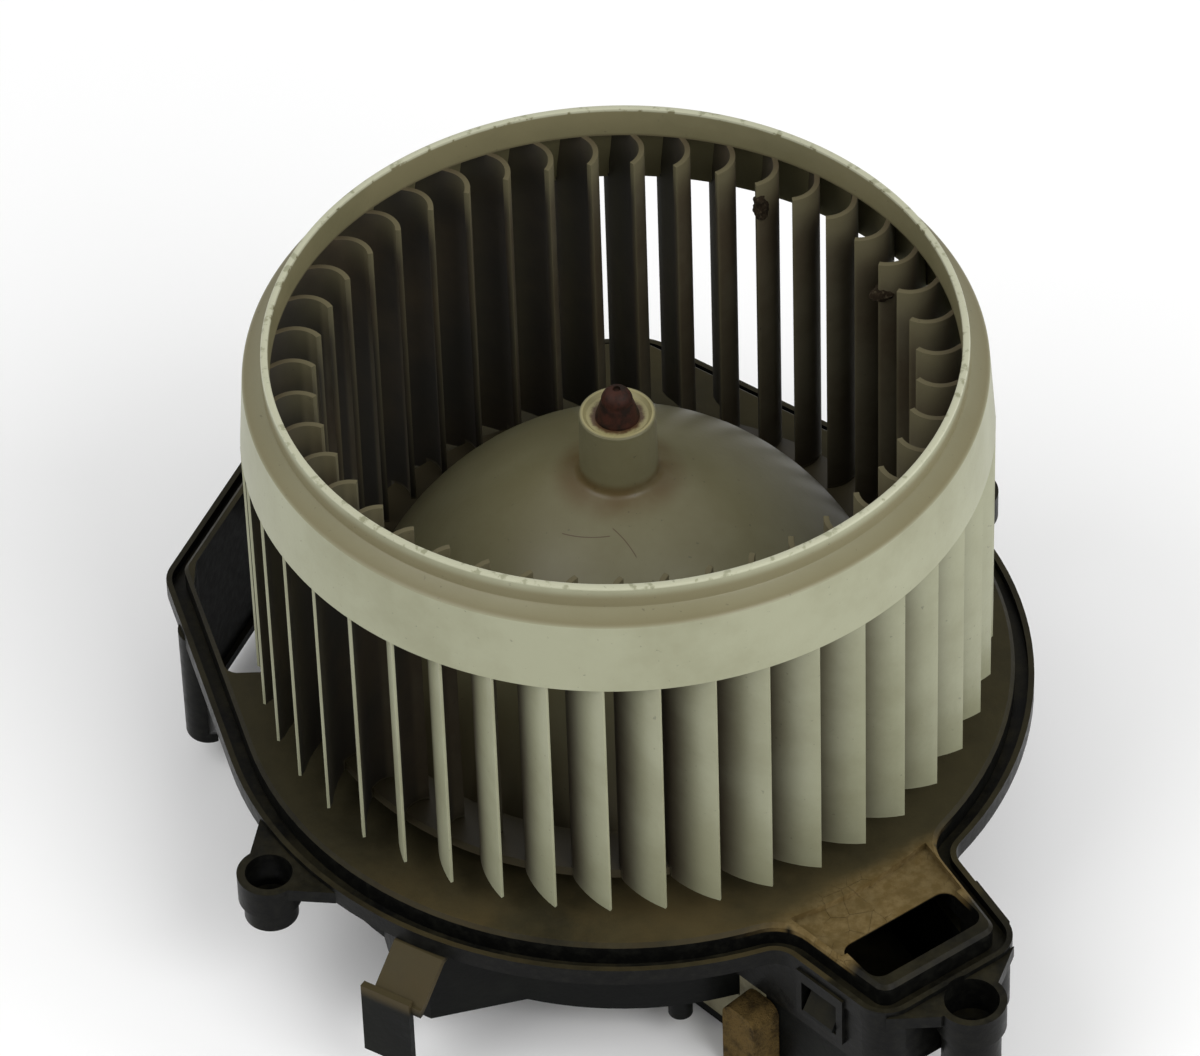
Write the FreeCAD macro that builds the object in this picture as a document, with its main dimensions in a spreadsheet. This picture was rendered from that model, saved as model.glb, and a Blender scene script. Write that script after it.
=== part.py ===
import FreeCAD, Part
import math
import os

import Sketcher

# Car cabin blower: a moulded squirrel-cage wheel on a small DC motor, carried by a round base
# plate with a regulator well, a cooling-air inlet and screw bosses, closed below by a cover.
# The origin is on the motor axis, in the plane of the plate's outer sealing rim; +Z points up
# along the axis, towards the wheel's air inlet, and -Y is the side shown in front.

doc = FreeCAD.newDocument("cabin_blower")
sheet = doc.addObject("Spreadsheet::Sheet", "dim")
DIMENSIONS = {
    # Wheel: a neck and band at the top, forward-curved blades, a domed hub on a flat ring.
    "wheel_r": 75.0, "band_draft": 1.2, "wheel_top": 92.5, "shoulder_run": 4.0, "lip_wall": 1.5,
    "lip_bevel": 0.5, "neck_height": 5.2, "shoulder_drop": 1.5, "band_height": 15.9,
    "band_wall": 1.6, "ring_depth": 7.0, "blade_count": 43, "blade_depth": 12.5, "blade_lead": 6.8,
    "blade_arc_r": 20.0, "blade_wall": 1.1, "blade_phase": -8.9, "blade_inset": 0.1,
    "blade_tip_r": 3.6,
    "wheel_foot": 8.2, "disc_lap": 3.5, "disc_wall": 2.2, "disc_width": 10.5, "dome_top": 56.8,
    "dome_arc_r": 70.0, "dome_wall": 2.0, "hub_r": 7.9, "hub_tip_r": 7.6, "hub_flare": 1.2,
    "hub_flare_height": 1.8, "hub_top": 72.5, "hub_depth": 24.5, "mouth_wall": 0.9,
    "mouth_depth": 1.6,
    # Shaft and the cap pressed over its end.
    "shaft_r": 3.0, "shaft_fit": 0.03, "shaft_sink": 0.1, "cap_wall": 1.4, "cap_tip_r": 3.2,
    "cap_collar": 1.2, "cap_height": 8.2, "dimple_r": 0.8, "dimple_depth": 0.6,
    # Motor: a drawn steel can, plastic end cap, magnets, armature and brush gear.
    "can_r": 31.0, "can_wall": 1.5, "can_top": 27.0, "can_length": 55.0, "can_corner_r": 2.0,
    "can_neck_gap": 0.8, "end_cap_wall": 2.5, "end_spigot": 3.0, "end_gap": 0.3, "glue_line": 0.05,
    "magnet_wall": 4.6, "magnet_span": 132.0, "magnet_low": 16.0, "magnet_length": 34.0,
    "air_gap": 1.0, "core_low": 20.0, "core_length": 26.0, "slot_count": 12, "slot_width": 3.2,
    "slot_depth": 10.0, "slot_mouth": 1.6, "winding_height": 5.0, "winding_gap": 0.3,
    "commutator_r": 9.0, "commutator_low": 2.0, "commutator_length": 11.0, "bearing_wall": 3.17,
    "bearing_length": 6.0, "clip_wall": 0.6, "clip_span": 6.0, "clip_bore_gap": 2.0,
    "washer_wall": 0.8, "washer_ring": 1.2, "washer_gap": 0.3, "card_wall": 2.0, "card_gap": 1.5,
    "brush_width": 5.0, "brush_height": 6.0, "brush_length": 9.0, "brush_gap": 0.3,
    "holder_wall": 1.2, "spring_space": 6.0, "spring_r": 1.9, "spring_width": 3.0, "spring_wall": 0.3,
    "spring_turns": 3, "choke_r": 3.0, "choke_length": 9.0, "choke_place": 18.0,
    "damper_wall": 7.0, "damper_low": 5.0, "damper_height": 12.0, "damper_groove": 2.0,
    "foot_damper_r": 20.0, "foot_damper_wall": 9.0,
    # Base plate: floor, sealing groove and rim, and the tower that holds the motor.
    "plate_r": 83.6, "rim_wall": 1.2, "rim_height": 4.0, "ridge_inset": 4.0, "groove_depth": 2.2,
    "floor_top": 3.0, "floor_wall": 2.2, "ridge_wall": 2.2, "ridge_bevel": 0.8, "tower_wall": 2.6,
    "tower_lip": 2.4, "tower_lip_gap": 1.5, "tower_foot": 3.0, "rib_count": 8, "rib_phase": 10.0,
    "rib_wall": 1.5, "rib_height": 4.0, "rib_reach": 66.0,
    # Corner of the plate that reaches out round the regulator well.
    "reg_start_angle": 195.0, "reg_left_y": 32.0, "reg_back_x": -63.2, "reg_back_y": 99.6,
    "reg_end_angle": 52.0, "reg_corner_r": 8.0, "reg_back_r": 10.0, "well_ax": -81.5,
    "well_ay": 0.0, "well_bx": -88.6, "well_by": 26.0, "well_cx": -88.3, "well_cy": 32.6,
    "well_dx": -65.6, "well_dy": 80.6, "well_ex": -40.0, "well_ey": 68.5, "well_fx": -62.0,
    "well_fy": 0.0, "well_wall": 2.0, "well_foot": -35.5, "well_corner_r": 3.0, "well_flange": 1.2,
    "well_slope_top": -12.0, "well_slope_y": 20.0, "post_r": 4.8, "post_x": -87.4, "post_y": 18.5,
    "post_foot": -31.9, "post_round": 1.0,
    # Cooling-air inlet: a tapered box on the rim, its mouth and ledge, and its skirt.
    "duct_angle": -55.2, "duct_wide": 21.5, "duct_wide_at": 80.0, "duct_reach": 108.8,
    "duct_narrow": 17.6, "duct_corner_r": 7.0, "duct_blend_r": 5.0, "mouth_margin": 3.2,
    "mouth_length": 12.3, "mouth_span": 27.3, "mouth_corner_r": 3.0, "ledge_at": 79.7,
    "ledge_drop": 1.6, "ledge_wall": 0.8, "skirt_step": 0.4, "skirt_wall": 1.5,
    "skirt_foot": -18.0, "hook_left_at": 92.0, "hook_right_at": 95.0, "hook_width": 8.0, "hook_out": 0.8, "window_top": -5.0,
    "window_foot": -13.0, "window_gap": 0.8, "frame_left_out": 1.0, "frame_right_out": 1.8, "frame_wall": 1.6,
    # Screw bosses that fasten the blower to the heater case.
    "boss_r": 6.5, "seat_drop": 1.2, "boss_height": 11.6, "boss_bore_r": 4.8, "boss_floor": 3.0,
    "boss_screw_r": 2.75, "boss_left_x": -72.9, "boss_left_y": -52.2, "boss_right_at": 113.9,
    "boss_right_side": 0.6, "boss_back_x": 73.0, "boss_back_y": 50.4, "web_wall": 3.0,
    "web_spread": 13.0, "web_right_spread": 16.0, "collar_height": 6.8, "collar_step": 1.0, "boss_right_height": 24.0,
    "boss_right_r": 7.0, "boss_right_bore_r": 5.5,
    # Lower cover, its screws, side arm, locating peg, foam pad and bare label.
    "cover_r": 70.0, "cover_wall": 2.0, "cover_foot": -26.0, "cup_gap": 0.6, "lip_gap": 0.3,
    "guide_wall": 1.5, "guide_height": 3.0, "channel_start": 25.0, "channel_gap": 0.1,
    "channel_lap": 6.0, "channel_slope_at": 76.0, "arm_angle": -122.5, "arm_width": 11.3,
    "arm_in": 83.9, "arm_out": 92.0, "arm_top": -4.3, "arm_drop": 6.6, "arm_foot": -28.5,
    "arm_wall": 1.5, "arm_lip": 1.0, "arm_shift": 2.2, "lobe_r": 82.0, "lobe_flat": 6.0, "lobe_spread": 17.0,
    "peg_r": 2.5, "peg_x": 8.6, "peg_y": -66.0, "peg_length": 5.5, "screw_r": 2.0,
    "screw_head_r": 3.9, "screw_head_height": 2.4, "screw_length": 14.0, "screw_post_r": 4.2,
    "screw_at": 60.0, "screw_angle_1": 20.0, "screw_angle_2": 95.0, "screw_angle_3": 200.0,
    "screw_angle_4": 262.0, "drive_width": 1.0, "drive_span": 4.6, "drive_depth": 1.2,
    "pad_at": 73.5, "pad_width": 9.0, "pad_wall": 7.0, "pad_top": -21.0, "pad_length": 17.5,
    "pad_round": 3.0, "label_at": 62.5, "label_width": 24.0, "label_foot": -36.5,
    "label_wall": 0.2, "socket_length": 18.0, "socket_width": 10.0, "socket_depth": 9.0,
    "socket_wall": 1.4, "socket_y": 50.0, "pin_width": 4.8, "pin_wall": 0.8, "pin_length": 12.0,
    "pin_pitch": 8.0, "pin_foot": 6.5,
}


def fill_sheet():
    """Write each driving dimension, in millimetres or degrees, into the sheet."""
    for row, (name, number) in enumerate(DIMENSIONS.items(), 1):
        sheet.set("A%d" % row, name)
        sheet.set("B%d" % row, str(number))
        sheet.setAlias("B%d" % row, name)
    doc.recompute()


fill_sheet()


def value(text):
    """The number that an expression on the sheet stands for."""
    return float(sheet.evalExpression(str(text)))


def bind(feature, **links):
    """Tie properties of a feature to expressions."""
    for prop, text in links.items():
        feature.setExpression(prop.replace("__", "."), str(text))
    return feature


# Heights and radii that follow from the driving dimensions.
SHOULDER = "(dim.wheel_top - dim.neck_height)"
BAND_TOP_R = "(dim.wheel_r - dim.band_draft)"
NECK_R = "(%s - dim.shoulder_run)" % BAND_TOP_R
LIP_BORE_R = "(%s - dim.lip_wall)" % NECK_R
BLADE_IN_R = "(dim.wheel_r - dim.blade_depth)"
DISC_R = "(%s + dim.disc_lap)" % BLADE_IN_R
DOME_R = "(%s - dim.disc_width)" % DISC_R
CAP_SEAT = "(dim.hub_top - dim.mouth_depth)"
CAP_R = "(dim.shaft_r + dim.cap_wall)"
SHAFT_TOP = "(dim.hub_top - dim.shaft_sink)"
BORE = "(dim.shaft_r + dim.shaft_fit)"
CAN_INNER = "(dim.can_r - dim.can_wall)"
CAN_CEILING = "(dim.can_top - dim.can_wall)"
CAN_FOOT = "(dim.can_top - dim.can_length)"
BEARING_R = "(%s + dim.bearing_wall)" % BORE
HOUSING_R = "(%s + dim.shaft_fit)" % BEARING_R
END_FOOT = "(%s - dim.bearing_length - dim.end_cap_wall)" % CAN_FOOT
SHAFT_FOOT = "(%s - dim.bearing_length + dim.end_gap)" % CAN_FOOT
MAGNET_R = "(%s - dim.glue_line - dim.magnet_wall)" % CAN_INNER
CORE_R = "(%s - dim.air_gap)" % MAGNET_R
CORE_FOOT = "(%s + dim.core_low)" % CAN_FOOT
CORE_TOP = "(%s + dim.core_length)" % CORE_FOOT
CARD_TOP = "(%s + dim.end_spigot + dim.card_wall)" % CAN_FOOT
TOWER_BORE = "(dim.can_r + dim.damper_wall + 2 * dim.shaft_fit)"
TOWER_R = "(%s + dim.tower_wall)" % TOWER_BORE
DAMPER_TOP = "(dim.damper_low + dim.damper_height)"
FLOOR_FOOT = "(dim.floor_top - dim.floor_wall)"
SEAT_TOP = "(0 - dim.seat_drop)"
COVER_FLOOR = "(dim.cover_foot + dim.cover_wall)"
CUP_FLOOR = "(%s - dim.cup_gap)" % END_FOOT
CUP_R = "(dim.can_r + dim.damper_wall)"
TURN = 360.0


def pin(sketch, geometry, corner, x_text, y_text):
    """Hold one corner of a sketch at expressions for its two coordinates."""
    for kind, text in (("DistanceX", x_text), ("DistanceY", y_text)):
        index = sketch.addConstraint(
            Sketcher.Constraint(kind, -1, 1, geometry, corner, value(text)))
        sketch.setExpression("Constraints[%d]" % index, str(text))


def hold_radius(sketch, geometry, text):
    index = sketch.addConstraint(Sketcher.Constraint("Radius", geometry, value(text)))
    sketch.setExpression("Constraints[%d]" % index, str(text))


def arc_between(start, end, radius):
    """Short arc from start to end; a positive radius has its centre on the left."""
    middle = (start + end) / 2
    along = end - start
    rise = math.sqrt(radius ** 2 - (along.Length / 2) ** 2)
    left = FreeCAD.Vector(-along.y, along.x, 0).normalize()
    centre = middle + left * math.copysign(rise, radius)
    first, last = (start, end) if radius > 0 else (end, start)
    angles = [math.atan2(p.y - centre.y, p.x - centre.x) for p in (first, last)]
    circle = Part.Circle(centre, FreeCAD.Vector(0, 0, 1), abs(radius))
    return Part.ArcOfCircle(circle, angles[0], angles[1])


def draw(sketch, corners):
    """Closed outline through corners (x, y) or (x, y, radius of the arc to the next one)."""
    places = [FreeCAD.Vector(value(c[0]), value(c[1]), 0) for c in corners]
    edges = []
    for number, corner in enumerate(corners):
        start = places[number]
        end = places[(number + 1) % len(corners)]
        if len(corner) == 2:
            edge = sketch.addGeometry(Part.LineSegment(start, end))
            edges.append((edge, 1, 2))
            continue
        radius = value(corner[2])
        edge = sketch.addGeometry(arc_between(start, end, radius))
        edges.append((edge, 1, 2) if radius > 0 else (edge, 2, 1))
        hold_radius(sketch, edge, "abs(%s)" % corner[2])
    for (edge, _, tail), (after, head, _) in zip(edges, edges[1:] + edges[:1]):
        sketch.addConstraint(Sketcher.Constraint("Coincident", edge, tail, after, head))
    for (edge, head, _), corner in zip(edges, corners):
        pin(sketch, edge, head, corner[0], corner[1])
    return sketch


def plane_of(body, role):
    """One of a body's own origin planes or axes."""
    return next(item for item in body.Origin.OriginFeatures if item.Role == role)


def body_sketch(body, name, role, offset="0"):
    sketch = body.newObject("Sketcher::SketchObject", name)
    sketch.AttachmentSupport = [(plane_of(body, role), "")]
    sketch.MapMode = "FlatFace"
    sketch.setExpression("AttachmentOffset.Base.z", str(offset))
    return sketch


def new_body(name):
    body = doc.addObject("PartDesign::Body", name)
    body.Label = name
    return body


def revolve(body, name, corners):
    """Turn a section of (radius, height) corners about the motor axis."""
    sketch = draw(body_sketch(body, name + "_section", "XZ_Plane"), corners)
    feature = body.newObject("PartDesign::Revolution", name)
    feature.Profile = sketch
    feature.ReferenceAxis = (sketch, ["V_Axis"])
    feature.Angle = TURN
    return feature


def pad(body, name, corners, low, high):
    sketch = draw(body_sketch(body, name + "_outline", "XY_Plane", low), corners)
    feature = body.newObject("PartDesign::Pad", name)
    feature.Profile = sketch
    return bind(feature, Length="(%s) - (%s)" % (high, low))


def pocket(body, name, corners, low, high):
    """Cut straight down from one height to another."""
    sketch = draw(body_sketch(body, name + "_outline", "XY_Plane", high), corners)
    feature = body.newObject("PartDesign::Pocket", name)
    feature.Profile = sketch
    return bind(feature, Length="(%s) - (%s)" % (high, low))


def round_pattern(body, name, feature, count):
    pattern = body.newObject("PartDesign::PolarPattern", name)
    pattern.Originals = [feature]
    pattern.Axis = (plane_of(body, "Z_Axis"), [""])
    pattern.Angle = TURN
    bind(pattern, Occurrences=count)
    body.Tip = pattern
    return pattern


def cylinder(name, radius, low, high, x="0", y="0"):
    feature = doc.addObject("Part::Cylinder", name)
    return bind(feature, Radius=radius, Height="(%s) - (%s)" % (high, low),
                Placement__Base__x=x, Placement__Base__y=y, Placement__Base__z=low)


def box(name, x, y, low, length, width, high, angle="0"):
    """Block with one corner at (x, y, low), turned about that corner."""
    feature = doc.addObject("Part::Box", name)
    return bind(feature, Length=length, Width=width, Height="(%s) - (%s)" % (high, low),
                Placement__Base__x=x, Placement__Base__y=y, Placement__Base__z=low,
                Placement__Rotation__Angle=angle)


def centred_box(name, x, y, low, length, width, high):
    return box(name, "%s - (%s) / 2" % (x, length), "%s - (%s) / 2" % (y, width), low,
               length, width, high)


def join(name, parts):
    feature = doc.addObject("Part::MultiFuse", name)
    feature.Shapes = parts
    feature.Refine = True
    return feature


def remove(name, base, *tools):
    feature = doc.addObject("Part::Cut", name)
    feature.Base = base
    feature.Tool = tools[0] if len(tools) == 1 else join(name + "_tools", list(tools))
    feature.Refine = True
    return feature


def common(name, first, second):
    feature = doc.addObject("Part::MultiCommon", name)
    feature.Shapes = [first, second]
    feature.Refine = True
    return feature


def tube(name, outer, inner, low, high):
    return remove(name, cylinder(name + "_outer", outer, low, high),
                  cylinder(name + "_bore", inner, "%s - 1" % low, "%s + 1" % high))


def opposite(name, feature):
    """The same piece again, half a turn round the motor axis."""
    twin = doc.addObject("Part::Compound", name)
    twin.Links = [feature]
    twin.Placement = FreeCAD.Placement(
        FreeCAD.Vector(), FreeCAD.Rotation(FreeCAD.Vector(0, 0, 1), TURN / 2))
    return twin


def is_upright(edge):
    if len(edge.Vertexes) != 2:
        return False
    start, end = (vertex.Point for vertex in edge.Vertexes)
    return math.hypot(end.x - start.x, end.y - start.y) < 1e-6 < abs(end.z - start.z)


def prism(name, outline, low, high, inset="0", bends=None, top_bevel=None):
    """Upright solid on an outline moved in by inset, its corners rounded as bends says.

    Each bend is (x, y, radius): the radius of the corner of the outline near that place,
    negative where the corner turns inwards.
    """
    base = outline
    if str(inset) != "0":
        base = doc.addObject("Part::Offset2D", name + "_inset")
        base.Source = outline
        base.Join = "Intersection"
        bind(base, Value="0 - (%s)" % inset)
    solid = doc.addObject("Part::Extrusion", name + "_block")
    solid.Base = base
    solid.DirMode = "Custom"
    solid.Dir = FreeCAD.Vector(0, 0, 1)
    solid.Solid = True
    bind(solid, LengthFwd="(%s) - (%s)" % (high, low), Placement__Base__z=low)
    if not bends:
        return solid
    doc.recompute()
    rounding = doc.addObject("Part::Fillet", name)
    rounding.Base = solid
    edges = []
    for number, edge in enumerate(solid.Shape.Edges):
        if not is_upright(edge):
            continue
        place = edge.Vertexes[0].Point
        bend = min(bends, key=lambda b: math.hypot(value(b[0]) - place.x,
                                                   value(b[1]) - place.y))
        radius = value(bend[2])
        radius = max(radius - value(inset), 0.3) if radius > 0 else value(inset) - radius
        if bend[2] != "0":
            edges.append((number + 1, radius, radius))
    rounding.Edges = edges
    if not top_bevel:
        return rounding
    doc.recompute()
    crown = doc.addObject("Part::Chamfer", name + "_crown")
    crown.Base = rounding
    top = value(high)
    radius = value(top_bevel)
    crown.Edges = [(number + 1, radius, radius)
                   for number, edge in enumerate(rounding.Shape.Edges)
                   if all(abs(vertex.Z - top) < 1e-6 for vertex in edge.Vertexes)]
    return crown


def outline(name, corners):
    return draw(doc.addObject("Sketcher::SketchObject", name), corners)


def side_prism(name, corners, angle, width, x="0", y="0"):
    """Solid with a section of (distance, height) corners in an upright plane at an angle."""
    sketch = outline(name + "_section", corners)
    upright = FreeCAD.Rotation(FreeCAD.Vector(1, 0, 0), 90)
    turn = FreeCAD.Rotation(FreeCAD.Vector(0, 0, 1), value(angle))
    sketch.Placement = FreeCAD.Placement(
        FreeCAD.Vector(value(x), value(y), 0), turn.multiply(upright))
    solid = doc.addObject("Part::Extrusion", name)
    solid.Base = sketch
    solid.DirMode = "Normal"
    solid.Solid = True
    solid.Symmetric = True
    return bind(solid, LengthFwd=width)


def polar(radius, angle, side="0"):
    """Expressions for a point at a radius and angle, moved sideways by side."""
    return ("((%s) * cos(%s) - (%s) * sin(%s))" % (radius, angle, side, angle),
            "((%s) * sin(%s) + (%s) * cos(%s))" % (radius, angle, side, angle))


nodes = []


def keep(name, feature):
    """Name a finished sub-part; its label names its file."""
    feature.Label = name
    nodes.append(feature)
    return feature


def build_impeller():
    """One moulding: neck and band, blades, flat ring, dome and hub."""
    body = new_body("impeller")
    corner = "(%s - dim.shoulder_drop)" % SHOULDER
    inner_r = "(dim.wheel_r - dim.band_wall)"
    upper_r = "(%s - dim.band_wall)" % BAND_TOP_R
    revolve(body, "ring", [
        (LIP_BORE_R, "dim.wheel_top - dim.ring_depth"),
        (upper_r, "%s - dim.band_wall" % corner),
        (inner_r, "%s - dim.band_height" % corner),
        ("dim.wheel_r", "%s - dim.band_height" % corner),
        (BAND_TOP_R, corner),
        (NECK_R, SHOULDER),
        (NECK_R, "dim.wheel_top - dim.lip_bevel"),
        ("%s - dim.lip_bevel" % NECK_R, "dim.wheel_top"),
        ("%s + dim.lip_bevel" % LIP_BORE_R, "dim.wheel_top"),
        (LIP_BORE_R, "dim.wheel_top - dim.lip_bevel"),
    ])
    blade = blade_pad(body)
    round_pattern(body, "blades", blade, "dim.blade_count")
    trim_blades(body, corner)
    disc_top = "(dim.wheel_foot + dim.disc_wall)"
    revolve(body, "hub", [
        (BORE, "dim.hub_top - dim.hub_depth"),
        ("dim.hub_r", "dim.hub_top - dim.hub_depth"),
        ("dim.hub_r", "dim.dome_top - dim.dome_wall"),
        under_dome(1),
        under_dome(2),
        ("%s - dim.dome_wall" % DOME_R, "dim.wheel_foot"),
        (DISC_R, "dim.wheel_foot"),
        (DISC_R, disc_top),
        (DOME_R, disc_top, "dim.dome_arc_r"),
        ("dim.hub_r + dim.hub_flare", "dim.dome_top"),
        ("dim.hub_r", "dim.dome_top + dim.hub_flare_height"),
        ("dim.hub_tip_r", "dim.hub_top"),
        ("dim.hub_tip_r - dim.mouth_wall", "dim.hub_top"),
        ("%s + dim.shaft_fit" % CAP_R, CAP_SEAT),
        (BORE, CAP_SEAT),
    ])
    return keep("impeller", body)


def trim_blades(body, corner):
    """Turn away what stands outside the tapered band, and round the blades' inner top corners."""
    beyond = "(dim.wheel_r + dim.band_wall)"
    sketch = draw(body_sketch(body, "trim_section", "XZ_Plane"), [
        ("dim.wheel_r", "%s - dim.band_height" % corner), (beyond, "%s - dim.band_height" % corner),
        (beyond, corner), (BAND_TOP_R, corner)])
    turn_away(body, "trim", sketch)
    top = "(dim.wheel_top - dim.ring_depth)"
    inside = "(%s - dim.band_wall)" % BLADE_IN_R
    sketch = draw(body_sketch(body, "tip_section", "XZ_Plane"), [
        ("%s + dim.blade_tip_r" % BLADE_IN_R, top, "dim.blade_tip_r"),
        (BLADE_IN_R, "%s - dim.blade_tip_r" % top),
        (inside, "%s - dim.blade_tip_r" % top),
        (inside, "%s + dim.band_wall" % top),
        ("%s + dim.blade_tip_r" % BLADE_IN_R, "%s + dim.band_wall" % top)])
    turn_away(body, "round_tips", sketch)


def turn_away(body, name, sketch):
    """Cut a section's full turn about the axis out of a body."""
    feature = body.newObject("PartDesign::Groove", name)
    feature.Profile = sketch
    feature.ReferenceAxis = (sketch, ["V_Axis"])
    feature.Angle = TURN


def under_dome(step):
    """Point at so many thirds of the way along the dome's underside, from hub to rim."""
    inner_r = "(dim.dome_arc_r - dim.dome_wall)"
    run = "(%s - dim.dome_wall - dim.hub_r)" % DOME_R
    fall = "(dim.dome_top - dim.dome_wall - dim.wheel_foot)"
    chord = "sqrt(%s ^ 2 + %s ^ 2)" % (run, fall)
    rise = "sqrt(%s ^ 2 - (%s / 2) ^ 2)" % (inner_r, chord)
    turn = "((%d / 3 - 1 / 2) * 2 * asin(%s / 2 / %s))" % (step, chord, inner_r)
    along = "(%s / 2 + %s * sin(%s))" % (chord, inner_r, turn)
    above = "(%s * cos(%s) - %s)" % (inner_r, turn, rise)
    return ("dim.hub_r + (%s * %s + %s * %s) / %s" % (run, along, fall, above, chord),
            "dim.dome_top - dim.dome_wall - (%s * %s - %s * %s) / %s"
            % (fall, along, run, above, chord))


def blade_pad(body):
    """One forward-curved blade: a strip between two arcs about the same centre."""
    outer_r = "(dim.wheel_r - dim.blade_inset)"
    chord_x = "(%s * cos(dim.blade_lead) - %s)" % (outer_r, BLADE_IN_R)
    chord_y = "(%s * sin(dim.blade_lead))" % outer_r
    chord = "sqrt(%s ^ 2 + %s ^ 2)" % (chord_x, chord_y)
    rise = "sqrt(dim.blade_arc_r ^ 2 - (%s / 2) ^ 2)" % chord
    centre_x = "(%s + %s / 2 - %s * %s / %s)" % (BLADE_IN_R, chord_x, rise, chord_y, chord)
    centre_y = "(%s / 2 + %s * %s / %s)" % (chord_y, rise, chord_x, chord)
    centre_x, centre_y = polar(centre_x, "dim.blade_phase", centre_y)
    sketch = body_sketch(body, "blade_outline", "XY_Plane", "dim.wheel_foot")
    up = FreeCAD.Vector(0, 0, 1)
    limits = []
    for limit in (BLADE_IN_R, outer_r):
        circle = sketch.addGeometry(Part.Circle(FreeCAD.Vector(), up, value(limit)), True)
        sketch.addConstraint(Sketcher.Constraint("Coincident", circle, 3, -1, 1))
        hold_radius(sketch, circle, limit)
        limits.append((circle, value(limit)))
    centre = FreeCAD.Vector(value(centre_x), value(centre_y), 0)
    arcs = []
    for side in (1, -1):
        radius = "(dim.blade_arc_r + %d * dim.blade_wall / 2)" % side
        ends = [meet(centre, value(radius), limit) for _, limit in limits]
        angles = [math.atan2(end.y - centre.y, end.x - centre.x) for end in ends]
        arc = sketch.addGeometry(Part.ArcOfCircle(
            Part.Circle(centre, up, value(radius)), angles[0], angles[1]))
        hold_radius(sketch, arc, radius)
        for point, (circle, _) in enumerate(limits):
            sketch.addConstraint(
                Sketcher.Constraint("PointOnObject", arc, point + 1, circle))
        arcs.append(arc)
    pin(sketch, arcs[0], 3, centre_x, centre_y)
    sketch.addConstraint(Sketcher.Constraint("Coincident", arcs[1], 3, arcs[0], 3))
    for point in (1, 2):
        ends = [sketch.getPoint(arc, point) for arc in arcs]
        line = sketch.addGeometry(Part.LineSegment(ends[0], ends[1]))
        for number, arc in enumerate(arcs):
            sketch.addConstraint(
                Sketcher.Constraint("Coincident", line, number + 1, arc, point))
    feature = body.newObject("PartDesign::Pad", "blade")
    feature.Profile = sketch
    return bind(feature, Length="dim.wheel_top - dim.ring_depth - dim.wheel_foot")


def meet(centre, radius, limit):
    """Where a blade's arc crosses a circle about the axis, on the blade's side."""
    distance = centre.Length
    along = (distance ** 2 + limit ** 2 - radius ** 2) / (2 * distance)
    across = math.sqrt(max(limit ** 2 - along ** 2, 0.0))
    ahead = FreeCAD.Vector(centre).normalize()
    return ahead * along + FreeCAD.Vector(ahead.y, -ahead.x, 0) * across


def build_shaft():
    keep("motor_shaft", cylinder("motor_shaft", "dim.shaft_r", SHAFT_FOOT, SHAFT_TOP))
    body = new_body("shaft_cap")
    tip_centre = "(%s + dim.cap_height - dim.cap_tip_r)" % CAP_SEAT
    dimple_top = "(%s + sqrt(dim.cap_tip_r ^ 2 - dim.dimple_r ^ 2))" % tip_centre
    revolve(body, "cap", [
        (BORE, CAP_SEAT),
        (CAP_R, CAP_SEAT),
        (CAP_R, "%s + dim.cap_collar" % CAP_SEAT),
        ("dim.cap_tip_r", tip_centre, "dim.cap_tip_r"),
        ("dim.dimple_r", dimple_top),
        ("dim.dimple_r", "%s - dim.dimple_depth" % dimple_top),
        ("0", "%s - dim.dimple_depth" % dimple_top),
        ("0", SHAFT_TOP),
        (BORE, SHAFT_TOP),
    ])
    keep("shaft_cap", body)


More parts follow.
